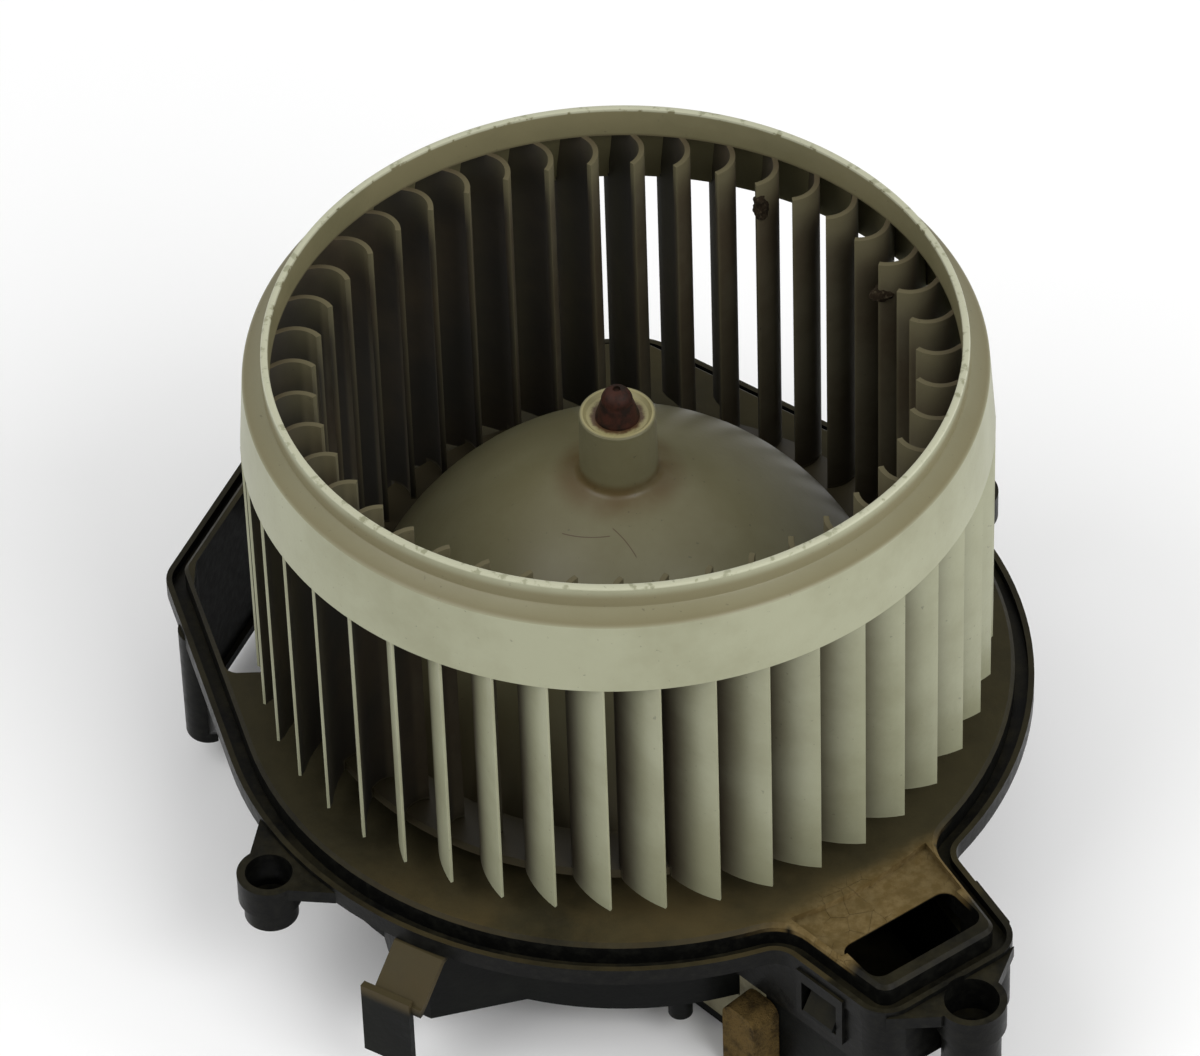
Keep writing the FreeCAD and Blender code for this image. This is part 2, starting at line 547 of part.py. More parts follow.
def build_armature():
    """Slotted steel stack, windings, commutator and thrust washers on the shaft."""
    core = new_body("armature_core")
    revolve(core, "stack", [
        (BORE, CORE_FOOT), (CORE_R, CORE_FOOT), (CORE_R, CORE_TOP), (BORE, CORE_TOP)])
    half = "(dim.slot_width / 2)"
    slot_in = "(%s - dim.slot_depth)" % CORE_R
    throat = "(%s - dim.slot_mouth)" % CORE_R
    beyond = "(%s + 1)" % CORE_R
    slot = pocket(core, "slot", [
        (slot_in, "0 - %s" % half), (throat, "0 - %s" % half),
        (throat, "0 - %s / 2" % half), (beyond, "0 - %s / 2" % half),
        (beyond, "%s / 2" % half), (throat, "%s / 2" % half),
        (throat, half), (slot_in, half),
    ], "%s - 1" % CORE_FOOT, "%s + 1" % CORE_TOP)
    round_pattern(core, "slots", slot, "dim.slot_count")
    keep("armature_core", core)
    coils = new_body("armature_windings")
    coil_in = "(%s - dim.winding_height / 2)" % slot_in
    coil_out = "(%s - dim.winding_gap)" % throat
    for name, low, high in (
            ("upper_coils", CORE_TOP, "(%s + dim.winding_height)" % CORE_TOP),
            ("lower_coils", "(%s - dim.winding_height)" % CORE_FOOT, CORE_FOOT)):
        revolve(coils, name, [(coil_in, low), (coil_out, low), (coil_out, high), (coil_in, high)])
    wire_half = "(%s - dim.winding_gap)" % half
    wire_in = "(%s + dim.winding_gap)" % slot_in
    wire = pad(coils, "slot_wire", [
        (wire_in, "0 - %s" % wire_half), (coil_out, "0 - %s" % wire_half),
        (coil_out, wire_half), (wire_in, wire_half),
    ], "%s - 1" % CORE_FOOT, "%s + 1" % CORE_TOP)
    round_pattern(coils, "slot_wires", wire, "dim.slot_count")
    keep("armature_windings", coils)
    low = "(%s + dim.commutator_low)" % CAN_FOOT
    keep("commutator", tube("commutator", "dim.commutator_r", BORE, low,
                            "(%s + dim.commutator_length)" % low))
    washer_r = "(%s + dim.washer_ring)" % BORE
    upper = "(%s - dim.washer_gap)" % CAN_CEILING
    lower = "(%s + dim.washer_gap)" % CAN_FOOT
    keep("thrust_washers", join("thrust_washers", [
        tube("upper_washer", washer_r, BORE, "(%s - dim.washer_wall)" % upper, upper),
        tube("lower_washer", washer_r, BORE, lower, "(%s + dim.washer_wall)" % lower)]))


def build_motor_case():
    """Drawn can, end cap, bearings, the clips that hold them, magnets and rubber rings."""
    can = new_body("motor_can")
    neck_top = "(%s + dim.bearing_length)" % CAN_CEILING
    neck_r = "(%s + dim.can_wall)" % HOUSING_R
    shaft_hole = "(%s + dim.can_neck_gap)" % BORE
    revolve(can, "can", [
        (shaft_hole, neck_top),
        (HOUSING_R, neck_top),
        (HOUSING_R, CAN_CEILING),
        (CAN_INNER, CAN_CEILING),
        (CAN_INNER, CAN_FOOT),
        ("dim.can_r", CAN_FOOT),
        ("dim.can_r", "dim.can_top - dim.can_corner_r"),
        ("dim.can_r - dim.can_corner_r", "dim.can_top"),
        (neck_r, "dim.can_top"),
        (neck_r, "%s + dim.can_wall" % neck_top),
        (shaft_hole, "%s + dim.can_wall" % neck_top),
    ])
    keep("motor_can", can)
    cap = new_body("motor_end_cap")
    pocket_foot = "(%s - dim.bearing_length)" % CAN_FOOT
    spigot_r = "(%s - dim.glue_line)" % CAN_INNER
    spigot_top = "(%s + dim.end_spigot)" % CAN_FOOT
    plate_foot = "(%s - dim.end_cap_wall)" % CAN_FOOT
    boss_out = "(%s + dim.end_cap_wall)" % HOUSING_R
    revolve(cap, "end_cap", [
        ("0", END_FOOT), (boss_out, END_FOOT), (boss_out, plate_foot),
        ("dim.can_r", plate_foot), ("dim.can_r", CAN_FOOT), (spigot_r, CAN_FOOT),
        (spigot_r, spigot_top), ("%s - dim.can_wall" % spigot_r, spigot_top),
        ("%s - dim.can_wall" % spigot_r, CAN_FOOT), (HOUSING_R, CAN_FOOT),
        (HOUSING_R, pocket_foot), ("0", pocket_foot),
    ])
    keep("motor_end_cap", cap)
    keep("upper_bearing", tube("upper_bearing", BEARING_R, BORE, CAN_CEILING, neck_top))
    keep("lower_bearing", tube("lower_bearing", BEARING_R, BORE, pocket_foot, CAN_FOOT))
    clip_in = "(%s + dim.clip_bore_gap)" % BORE
    clip_out = "(%s + dim.clip_span)" % HOUSING_R
    keep("bearing_clips", join("bearing_clips", [
        tube("upper_clip", clip_out, clip_in, "(%s - dim.clip_wall)" % CAN_CEILING,
             CAN_CEILING),
        tube("lower_clip", clip_out, clip_in, CAN_FOOT, "(%s + dim.clip_wall)" % CAN_FOOT)]))
    build_magnets()
    inner = "(dim.can_r + dim.shaft_fit)"
    outer = "(%s + dim.damper_wall)" % inner
    groove_r = "(%s - dim.damper_groove)" % outer
    middle = "(dim.damper_low + dim.damper_height / 2)"
    ring = new_body("upper_damper")
    revolve(ring, "damper", [
        (inner, "dim.damper_low"), (outer, "dim.damper_low"),
        (outer, "%s - dim.damper_groove / 2" % middle),
        (groove_r, "%s - dim.damper_groove / 2" % middle),
        (groove_r, "%s + dim.damper_groove / 2" % middle),
        (outer, "%s + dim.damper_groove / 2" % middle),
        (outer, DAMPER_TOP), (inner, DAMPER_TOP)])
    keep("upper_damper", ring)
    keep("lower_damper", tube("lower_damper", "dim.foot_damper_r",
                              "(dim.foot_damper_r - dim.foot_damper_wall)",
                              CUP_FLOOR, plate_foot))


def build_magnets():
    body = new_body("magnet_right")
    outer = "(%s - dim.glue_line)" % CAN_INNER
    half = "(dim.magnet_span / 2)"
    low = "(%s + dim.magnet_low)" % CAN_FOOT
    inner_start = polar(MAGNET_R, "(0 - %s)" % half)
    inner_end = polar(MAGNET_R, half)
    outer_start = polar(outer, half)
    outer_end = polar(outer, "(0 - %s)" % half)
    pad(body, "magnet", [
        inner_start + (MAGNET_R,), inner_end,
        outer_start + ("0 - %s" % outer,), outer_end,
    ], low, "(%s + dim.magnet_length)" % low)
    keep("magnet_right", body)
    keep("magnet_left", opposite("magnet_left", body))


def build_brush_gear():
    """Card with two brush holders, carbon brushes, folded leaf springs and two chokes."""
    card_foot = "(%s + dim.end_spigot)" % CAN_FOOT
    hole_r = "(dim.commutator_r + dim.card_gap)"
    ring = tube("card_ring", "(%s - dim.glue_line)" % CAN_INNER, hole_r, card_foot, CARD_TOP)
    brush_in = "(dim.commutator_r + dim.brush_gap)"
    brush_out = "(%s + dim.brush_length)" % brush_in
    holder_in = "(%s + dim.holder_wall)" % brush_out
    holder_end = "(%s + dim.spring_space)" % brush_out
    slide_width = "(dim.brush_width + 2 * dim.glue_line)"
    slide_top = "(%s + dim.brush_height + dim.glue_line)" % CARD_TOP
    holder = remove(
        "holder",
        box("holder_block", hole_r, "0 - %s / 2 - dim.holder_wall" % slide_width, CARD_TOP,
            "%s + dim.holder_wall - %s" % (holder_end, hole_r),
            "%s + 2 * dim.holder_wall" % slide_width, "%s + dim.holder_wall" % slide_top),
        box("holder_slide", "0", "0 - %s / 2" % slide_width, CARD_TOP, holder_end,
            slide_width, slide_top))
    keep("brush_card", join("brush_card", [ring, holder, opposite("holder_twin", holder)]))
    brush = remove(
        "brush_right",
        box("brush_block", "0", "0 - dim.brush_width / 2", CARD_TOP, brush_out,
            "dim.brush_width", "%s + dim.brush_height" % CARD_TOP),
        cylinder("brush_face", brush_in, "%s - 1" % CARD_TOP,
                 "%s + dim.brush_height + 1" % CARD_TOP))
    keep("brush_right", brush)
    keep("brush_left", opposite("brush_left", brush))
    folds = int(value("dim.spring_turns")) * 2
    step = "((dim.spring_space - dim.spring_wall) / %d)" % folds
    half = "(dim.spring_wall / 2 * sqrt(1 + (2 * dim.spring_r / %s) ^ 2))" % step
    spring_z = "(%s + dim.brush_height / 2)" % CARD_TOP
    bends = [("%s + %d * %s" % (brush_out, number, step),
              "%s %s dim.spring_r" % (spring_z, "-+"[number % 2])) for number in range(folds + 1)]
    under = [(x, "%s - %s" % (z, half)) for x, z in bends]
    over = [(x, "%s + %s" % (z, half)) for x, z in reversed(bends)]
    spring = side_prism("spring_right", under + over, "0", "dim.spring_width")
    keep("spring_right", spring)
    keep("spring_left", opposite("spring_left", spring))
    choke = doc.addObject("Part::Cylinder", "choke_back")
    choke.Placement.Rotation = FreeCAD.Rotation(FreeCAD.Vector(0, 1, 0), 90)
    bind(choke, Radius="dim.choke_r", Height="dim.choke_length",
         Placement__Base__x="0 - dim.choke_length / 2", Placement__Base__y="dim.choke_place",
         Placement__Base__z="%s + dim.choke_r" % CARD_TOP)
    keep("choke_back", choke)
    keep("choke_front", opposite("choke_front", choke))


def duct_half(along, inset="0"):
    """Half the inlet box's width at a distance from the axis, moved in by inset."""
    return "(%s - (%s) * %s - (%s) * sqrt(1 + %s ^ 2))" % (
        DUCT_ROOT, along, DUCT_TAPER, inset, DUCT_TAPER)


def duct_box(name, near, far, inset, low, high, corner_r=None):
    """Upright solid with the inlet box's tapered plan."""
    near_half = duct_half(near, inset)
    far_half = duct_half(far, inset)
    corners = [
        polar(near, "dim.duct_angle", near_half),
        polar(far, "dim.duct_angle", far_half),
        polar(far, "dim.duct_angle", "0 - %s" % far_half),
        polar(near, "dim.duct_angle", "0 - %s" % near_half),
    ]
    radii = ("0", corner_r, corner_r, "0")
    bends = [corner + (radius,) for corner, radius in zip(corners, radii)]
    return prism(name, outline(name + "_outline", corners), low, high,
                 bends=bends if corner_r else None)


def plate_outline():
    """Plan of the base plate: a circle, the regulator corner and the inlet box."""
    start = polar("dim.plate_r", "dim.reg_start_angle")
    end = polar("dim.plate_r", "dim.reg_end_angle")
    left = ("((dim.plate_r - dim.reg_left_y * sin(dim.reg_start_angle))"
            " / cos(dim.reg_start_angle))", "dim.reg_left_y")
    back = ("dim.reg_back_x", "dim.reg_back_y")
    right = ("((dim.plate_r - dim.reg_back_y * sin(dim.reg_end_angle))"
             " / cos(dim.reg_end_angle))", "dim.reg_back_y")
    spread = "(1 + %s ^ 2)" % DUCT_TAPER
    product = "(%s * %s)" % (DUCT_ROOT, DUCT_TAPER)
    meeting = "((%s + sqrt(%s ^ 2 - %s * (%s ^ 2 - dim.plate_r ^ 2))) / %s)" % (
        product, product, spread, DUCT_ROOT, spread)
    half = duct_half(meeting)
    far_half = duct_half("dim.duct_reach")
    inlet = [
        polar(meeting, "dim.duct_angle", half),
        polar("dim.duct_reach", "dim.duct_angle", far_half),
        polar("dim.duct_reach", "dim.duct_angle", "0 - %s" % far_half),
        polar(meeting, "dim.duct_angle", "0 - %s" % half),
    ]
    clockwise = ("0 - dim.plate_r",)
    sketch = outline("plate_outline", [
        start, left, back, right, end + clockwise,
        inlet[0], inlet[1], inlet[2], inlet[3] + clockwise,
    ])
    bends = [
        start + ("0",), left + ("dim.reg_corner_r",), back + ("dim.reg_corner_r",),
        right + ("dim.reg_back_r",), end + ("0",),
        inlet[0] + ("0 - dim.duct_blend_r",), inlet[1] + ("dim.duct_corner_r",),
        inlet[2] + ("dim.duct_corner_r",), inlet[3] + ("0 - dim.duct_blend_r",),
    ]
    return sketch, bends


def well_prism(name, low, high, inset="0"):
    """Upright solid with the regulator well's plan, moved in by inset."""
    corners = [("dim.well_%sx" % key, "dim.well_%sy" % key) for key in "abcdef"]
    bends = [corner + ("dim.well_corner_r",) for corner in corners]
    return prism(name, outline(name + "_outline", corners), low, high, inset, bends)


BOSSES = (
    ("left", ("dim.boss_left_x", "dim.boss_left_y")),
    ("back", ("dim.boss_back_x", "dim.boss_back_y")),
)


def build_base_plate():
    """Floor, ridge, groove and rim, motor tower, regulator well, inlet box and bosses."""
    plan, bends = plate_outline()
    inner_inset = "(dim.ridge_inset + dim.ridge_wall)"
    low = "(0 - dim.rim_height)"
    rim = prism("rim", plan, low, "0", "0", bends)
    groove = prism("groove", plan, "(0 - dim.groove_depth)", "1", "dim.rim_wall", bends)
    ridge = prism("ridge", plan, low, "dim.floor_top", "dim.ridge_inset", bends,
                  "dim.ridge_bevel")
    hollow = prism("hollow", plan, "%s - 1" % low, FLOOR_FOOT, inner_inset, bends)
    tray = remove("tray", join("tray_walls", [remove("grooved_rim", rim, groove), ridge]),
                  hollow)
    well_wall = "(0 - dim.well_wall)"
    well_block = well_prism("well_walls", "dim.well_foot", "(0 - dim.groove_depth)", well_wall)
    well_low = remove("sloped_well", well_block, well_slope())
    well_high = common(
        "well_collar", well_prism("well_upper", low, "dim.floor_top", well_wall), ridge)
    pieces = [tray, well_low, well_high, inside_walls(), skirt(), well_post()]
    pieces += [screw_post(number) for number in range(4)]
    cuts = [
        well_prism("well_opening", "dim.well_foot - 1", "dim.floor_top + 1"),
        cylinder("motor_passage", TOWER_BORE, "%s - dim.tower_foot - 1" % FLOOR_FOOT,
                 DAMPER_TOP),
        cylinder("can_passage", "dim.can_r + dim.tower_lip_gap", FLOOR_FOOT,
                 "%s + dim.tower_lip + 1" % DAMPER_TOP),
    ]
    cuts += [screw_pilot(number) for number in range(4)]
    cuts += inlet_cuts()
    for piece, cut in (screw_boss(*boss) for boss in BOSSES + (INLET_BOSS,)):
        pieces.append(piece)
        cuts.append(cut)
    body = remove("plate_body", join("plate_pieces", pieces), *cuts)
    keep("base_plate", join("base_plate", [body, well_flange()]))


def inside_walls():
    """Motor tower, radial ribs and the ring that centres the lower cover."""
    tower = cylinder("tower", TOWER_R, "%s - dim.tower_foot" % FLOOR_FOOT,
                     "%s + dim.tower_lip" % DAMPER_TOP)
    rib = box("rib", "%s - 1" % TOWER_R, "0 - dim.rib_wall / 2",
              "%s - dim.rib_height" % FLOOR_FOOT, "dim.rib_reach - %s + 1" % TOWER_R,
              "dim.rib_wall", FLOOR_FOOT)
    ribs = doc.addObject("Part::Compound", "ribs")
    ribs.Links = [turned("rib_%d" % number, rib, "dim.rib_phase + %d * %s / dim.rib_count"
                         % (number, TURN)) for number in range(int(value("dim.rib_count")))]
    ring_r = "(dim.cover_r - dim.cover_wall - dim.lip_gap)"
    ring = tube("cover_ring", ring_r, "(%s - dim.guide_wall)" % ring_r,
                "(%s - dim.guide_height)" % FLOOR_FOOT, FLOOR_FOOT)
    clear = "(0 - dim.well_wall - 2 * dim.lip_gap - dim.cover_wall)"
    low = "(%s - dim.rib_height - dim.guide_height)" % FLOOR_FOOT
    walls = remove(
        "inner_walls", join("ribs_and_ring", [ribs, ring]),
        well_prism("ring_break", low, "%s + 1" % FLOOR_FOOT, clear),
        duct_box("ring_gate", "dim.cover_r / 2 + 10", "dim.duct_reach - 5",
                 "dim.skirt_step + dim.skirt_wall", low, "%s + 1" % FLOOR_FOOT))
    return join("inner_frame", [tower, walls])


def turned(name, feature, angle):
    copy = doc.addObject("Part::Compound", name)
    copy.Links = [feature]
    return bind(copy, Placement__Rotation__Angle=angle)


def skirt():
    """Walls of the inlet box below the rim, with a snap window in each side."""
    far = "(dim.duct_reach - dim.skirt_step)"
    walls = remove(
        "skirt_walls",
        duct_box("skirt_outer", "dim.cover_r / 2 + 10", far, "dim.skirt_step",
                 "dim.skirt_foot", "0 - dim.groove_depth",
                 "dim.duct_corner_r - dim.skirt_step"),
        duct_box("skirt_inner", "dim.cover_r / 2 + 9", "(%s - dim.skirt_wall)" % far,
                 "dim.skirt_step + dim.skirt_wall", "dim.skirt_foot - 1",
                 "1 - dim.groove_depth",
                 "dim.duct_corner_r - dim.skirt_step - dim.skirt_wall"),
        cylinder("cover_room", "dim.cover_r + dim.lip_gap", "dim.skirt_foot - 1", "1"))
    windows = [
        snap_box("window_%s" % side, side, "dim.skirt_step - dim.frame_%s_out - 1" % side,
                 "dim.frame_%s_out + dim.skirt_wall + dim.channel_gap + 1" % side,
                 "dim.hook_width + 2 * dim.window_gap", "dim.window_foot",
                 "dim.window_top") for side in SIDES]
    frames = [
        snap_box("frame_%s" % side, side, "dim.skirt_step - dim.frame_%s_out" % side,
                 "dim.frame_%s_out + dim.skirt_wall / 2" % side,
                 "dim.hook_width + 2 * dim.window_gap + 2 * dim.frame_wall",
                 "dim.window_foot - dim.frame_wall", "(0 - dim.groove_depth)") for side in SIDES]
    return remove("skirt", join("framed_skirt", [walls] + frames), *windows)


SIDES = {"left": "(0 - 1)", "right": "1"}


def snap_box(name, side, inset, depth, width, low, high):
    """Block on one side wall of the inlet box, centred on the snap hook."""
    sign = SIDES[side]
    along = "dim.hook_%s_at" % side
    x, y = polar(along, "dim.duct_angle", "%s * (%s)" % (sign, duct_half(along, inset)))
    angle = "(dim.duct_angle - %s * %s)" % (sign, TAPER_ANGLE)
    half = "(%s) / 2" % width
    back = "(%s) * (1 + %s) / 2" % (depth, sign)
    corner_x = "%s - %s * cos(%s) + %s * sin(%s)" % (x, half, angle, back, angle)
    corner_y = "%s - %s * sin(%s) - %s * cos(%s)" % (y, half, angle, back, angle)
    return box(name, corner_x, corner_y, low, width, depth, high, angle)


def inlet_cuts():
    """The inlet's mouth and the lowered ledge between it and the main floor."""
    mouth_far = "(dim.duct_reach - dim.ridge_inset - dim.mouth_margin)"
    mouth_near = "(%s - dim.mouth_length)" % mouth_far
    half = "(dim.mouth_span / 2)"
    corners = [
        polar(mouth_near, "dim.duct_angle", half),
        polar(mouth_far, "dim.duct_angle", half),
        polar(mouth_far, "dim.duct_angle", "0 - %s" % half),
        polar(mouth_near, "dim.duct_angle", "0 - %s" % half),
    ]
    bends = [corner + ("dim.mouth_corner_r",) for corner in corners]
    mouth = prism("mouth", outline("mouth_outline", corners), FLOOR_FOOT + " - 6",
                  "dim.floor_top + 1", bends=bends)
    shelf = duct_box("shelf", "(dim.ledge_at - 2 * dim.ledge_wall)",
                     "(%s + dim.mouth_corner_r)" % mouth_near,
                     "dim.ridge_inset + dim.ledge_wall",
                     "(dim.floor_top - dim.ledge_drop)", "dim.floor_top + 1")
    ledge = remove("ledge", shelf, cylinder("ledge_round", "dim.ledge_at", "0", "dim.floor_top + 2"))
    return [mouth, ledge]


def well_post():
    post = cylinder("post_block", "dim.post_r", "dim.post_foot", "(0 - dim.groove_depth)",
                    "dim.post_x", "dim.post_y")
    doc.recompute()
    rounding = doc.addObject("Part::Fillet", "post")
    rounding.Base = post
    foot = value("dim.post_foot")
    radius = value("dim.post_round")
    rounding.Edges = [(number + 1, radius, radius)
                      for number, edge in enumerate(post.Shape.Edges)
                      if all(abs(vertex.Z - foot) < 1e-6 for vertex in edge.Vertexes)]
    return rounding


def well_slope():
    """Wedge that leaves the well's front walls shallow, deepening towards its back."""
    low = "(dim.well_foot - 1)"
    front = "(dim.well_ay - dim.well_wall - 1)"
    return side_prism("well_slope", [
        (front, "dim.well_slope_top"), ("dim.well_ay", "dim.well_slope_top"),
        ("dim.well_slope_y", low), (front, low),
    ], "90", "2 * (dim.well_fx - dim.well_ax + dim.well_wall)", "dim.well_ax", "0")


def well_flange():
    """Inward flange along the foot of the well's outer wall."""
    run_x = "(dim.well_dx - dim.well_cx)"
    run_y = "(dim.well_dy - dim.well_cy)"
    length = "sqrt(%s ^ 2 + %s ^ 2)" % (run_x, run_y)
    x = "dim.well_cx + dim.well_flange * %s / %s" % (run_y, length)
    y = "dim.well_cy - dim.well_flange * %s / %s" % (run_x, length)
    return box("well_flange", x, y, "dim.well_foot", length,
               "dim.well_flange + dim.well_wall / 2", "dim.well_foot + dim.well_wall",
               "(atan2(%s; %s) / 1deg)" % (run_y, run_x))


def screw_place(number):
    return polar("dim.screw_at", "dim.screw_angle_%d" % (number + 1))


def screw_post(number):
    x, y = screw_place(number)
    return cylinder("screw_post_%d" % number, "dim.screw_post_r", COVER_FLOOR, FLOOR_FOOT,
                    x, y)


def screw_pilot(number):
    x, y = screw_place(number)
    return cylinder("screw_pilot_%d" % number, "dim.screw_r + dim.shaft_fit",
                    "%s - 1" % COVER_FLOOR, "dim.cover_foot + dim.screw_length + 1", x, y)


INLET_BOSS = ("inlet", polar("dim.boss_right_at", "dim.duct_angle", "dim.boss_right_side"))


def screw_boss(name, place):
    """Boss with an open top, a floor for the screw and a web to the rim."""
    x, y = place
    angle = "dim.duct_angle" if name == "inlet" else "(atan2(%s; %s) / 1deg)" % (y, x)
    edge = "(dim.duct_reach - 1)" if name == "inlet" else "(dim.plate_r - 1)"
    away = "dim.boss_right_at" if name == "inlet" else "sqrt((%s) ^ 2 + (%s) ^ 2)" % (x, y)
    spread = "dim.web_right_spread" if name == "inlet" else "dim.web_spread"
    height = "dim.boss_right_height" if name == "inlet" else "dim.boss_height"
    radius = "dim.boss_right_r" if name == "inlet" else "dim.boss_r"
    bore_r = "dim.boss_right_bore_r" if name == "inlet" else "dim.boss_bore_r"
    web_corners = [
        polar(edge, angle, spread), polar(away, angle, radius),
        polar(away, angle, "0 - " + radius), polar(edge, angle, "0 - " + spread),
    ]
    web = prism("web_" + name, outline("web_outline_" + name, web_corners),
                "(%s - dim.web_wall)" % SEAT_TOP, SEAT_TOP)
    parts = [web, cylinder("boss_collar_" + name, radius,
                           "(%s - dim.collar_height)" % SEAT_TOP, SEAT_TOP, x, y)]
    foot = "(%s - %s)" % (SEAT_TOP, height)
    parts.append(cylinder("boss_stem_" + name, radius + " - dim.collar_step", foot,
                          SEAT_TOP, x, y))
    bore = cylinder("boss_bore_" + name, bore_r,
                    "(%s - dim.boss_height + dim.boss_floor)" % SEAT_TOP, "1", x, y)
    hole = cylinder("boss_hole_" + name, "dim.boss_screw_r", "%s - 1" % foot, "1", x, y)
    return join("boss_" + name, parts), join("boss_cut_" + name, [bore, hole])


DUCT_TAPER = ("((dim.duct_wide - dim.duct_narrow)"
              " / (dim.duct_reach - dim.duct_wide_at))")
TAPER_ANGLE = "(atan(%s) / 1deg)" % DUCT_TAPER
DUCT_ROOT = "(dim.duct_wide + dim.duct_wide_at * %s)" % DUCT_TAPER
CHANNEL_INSET = "(dim.skirt_step + dim.skirt_wall + dim.channel_gap)"
CHANNEL_END = "(dim.duct_reach - %s)" % CHANNEL_INSET
CUP_FOOT = "(%s - dim.cover_wall)" % CUP_FLOOR


def build_lower_cover():
    """Round tub with the motor cup, air channel, side arm, peg and connector socket."""
    wall = "dim.cover_wall"
    lobe_top = "(dim.arm_top)"
    outer = [
        cylinder("tub", "dim.cover_r", "dim.cover_foot", FLOOR_FOOT),
        cylinder("cup", CUP_R, CUP_FOOT, COVER_FLOOR),
        channel("channel", "0", CUP_FOOT),
        lobe("lobe", "0", "dim.cover_foot", lobe_top),
    ]
    inner = [
        cylinder("tub_room", "(dim.cover_r - %s)" % wall, COVER_FLOOR, "%s + 1" % FLOOR_FOOT),
        cylinder("cup_room", "(%s - %s)" % (CUP_R, wall), CUP_FLOOR, "%s + 1" % COVER_FLOOR),
        channel("channel_room", wall, CUP_FLOOR),
        lobe("lobe_room", wall, COVER_FLOOR, "(%s - %s)" % (lobe_top, wall)),
    ]
    gap = "(0 - dim.well_wall - dim.lip_gap)"
    low = "(dim.cover_foot - 1)"
    high = "(%s + 2)" % FLOOR_FOOT
    shell = remove(
        "cover_shell",
        remove("cover_outside", join("cover_solid", outer),
               well_prism("well_side", low, high, gap)),
        remove("cover_inside", join("cover_room", inner),
               well_prism("well_side_wall", low, high, "(%s - %s)" % (gap, wall))))
    peg = cylinder("peg", "dim.peg_r", "dim.cover_foot - dim.peg_length", COVER_FLOOR,
                   "dim.peg_x", "dim.peg_y")
    socket = centred_box("socket", "0", "dim.socket_y", "dim.cover_foot - dim.socket_depth",
                         "dim.socket_length", "dim.socket_width", COVER_FLOOR)
    hooks = [hook(side) for side in SIDES]
    body = join("cover_body", [shell, arm(), peg, socket] + hooks)
    cuts = [
        centred_box("socket_room", "0", "dim.socket_y",
                    "dim.cover_foot - dim.socket_depth - 1",
                    "dim.socket_length - 2 * dim.socket_wall",
                    "dim.socket_width - 2 * dim.socket_wall", "dim.cover_foot"),
    ]
    cuts += [pin_box("pin_slot_%d" % number, number, "dim.shaft_fit", 1)
             for number in (0, 1)]
    for number in range(4):
        x, y = screw_place(number)
        cuts.append(cylinder("screw_hole_%d" % number, "dim.screw_r + dim.lip_gap",
                             "dim.cover_foot - 1", "%s + 1" % COVER_FLOOR, x, y))
    keep("lower_cover", remove("lower_cover", body, *cuts))
    keep("terminal_blades", join("terminal_blades", [
        pin_box("pin_%d" % number, number, "0", 0) for number in (0, 1)]))


def channel(name, inset, foot):
    """Tapered air channel from the motor cup to the inlet box, its floor rising outwards."""
    shift = "(%s + %s)" % (CHANNEL_INSET, inset)
    end = "(%s - %s)" % (CHANNEL_END, inset)
    high = "(dim.skirt_foot + dim.channel_lap)" if inset == "0" else "1"
    block = duct_box(name + "_block", "dim.channel_start", end, shift, foot, high,
                     "dim.duct_corner_r - %s" % shift)
    rise = "(dim.skirt_foot + %s)" % inset
    wedge = side_prism(name + "_slope", [
        ("dim.channel_slope_at", foot), ("%s" % CHANNEL_END, rise),
        ("%s + 5" % CHANNEL_END, rise), ("%s + 5" % CHANNEL_END, "%s - 5" % foot),
        ("dim.channel_slope_at", "%s - 5" % foot),
    ], "dim.duct_angle", "4 * dim.duct_wide")
    return remove(name, block, wedge)


def lobe(name, inset, low, high):
    """Side bulge of the tub that carries the arm."""
    angle = "dim.arm_angle"
    corners = [
        polar("(dim.cover_r - dim.cover_wall)", "(%s - dim.lobe_spread)" % angle),
        polar("(dim.lobe_r - %s)" % inset, angle, "0 - (dim.lobe_flat / 2 - %s / 2)" % inset),
        polar("(dim.lobe_r - %s)" % inset, angle, "(dim.lobe_flat / 2 - %s / 2)" % inset),
        polar("(dim.cover_r - dim.cover_wall)", "(%s + dim.lobe_spread)" % angle),
        polar("dim.cover_r / 2", angle),
    ]
    return prism(name, outline(name + "_outline", corners), low, high)


def arm():
    """Sloping leaf, set to one side of the upright leaf that it ends in."""
    out = "dim.arm_out"
    slope_foot = "(dim.arm_top - dim.arm_drop)"
    past = "(%s + dim.arm_wall / 2)" % out
    x, y = polar("0", "dim.arm_angle", "dim.arm_shift")
    slope = side_prism("arm_slope", [
        ("(dim.lobe_r - 1)", "dim.arm_top"), ("dim.arm_in", "dim.arm_top"),
        (out, slope_foot), (past, slope_foot),
        (past, "%s - 1.4 * dim.arm_wall" % slope_foot),
        (out, "%s - 1.4 * dim.arm_wall" % slope_foot),
        ("dim.arm_in - dim.arm_wall / 3", "dim.arm_top - dim.arm_wall"),
        ("(dim.lobe_r - 1)", "dim.arm_top - dim.arm_wall"),
    ], "dim.arm_angle", "dim.arm_width", x, y)
    leaf = side_prism("arm_leaf", [
        (out, "%s + dim.arm_lip" % slope_foot),
        ("%s + dim.arm_wall" % out, "%s + dim.arm_lip" % slope_foot),
        ("%s + dim.arm_wall" % out, "dim.arm_foot"), (out, "dim.arm_foot"),
    ], "dim.arm_angle", "dim.arm_width")
    return join("arm", [slope, leaf])


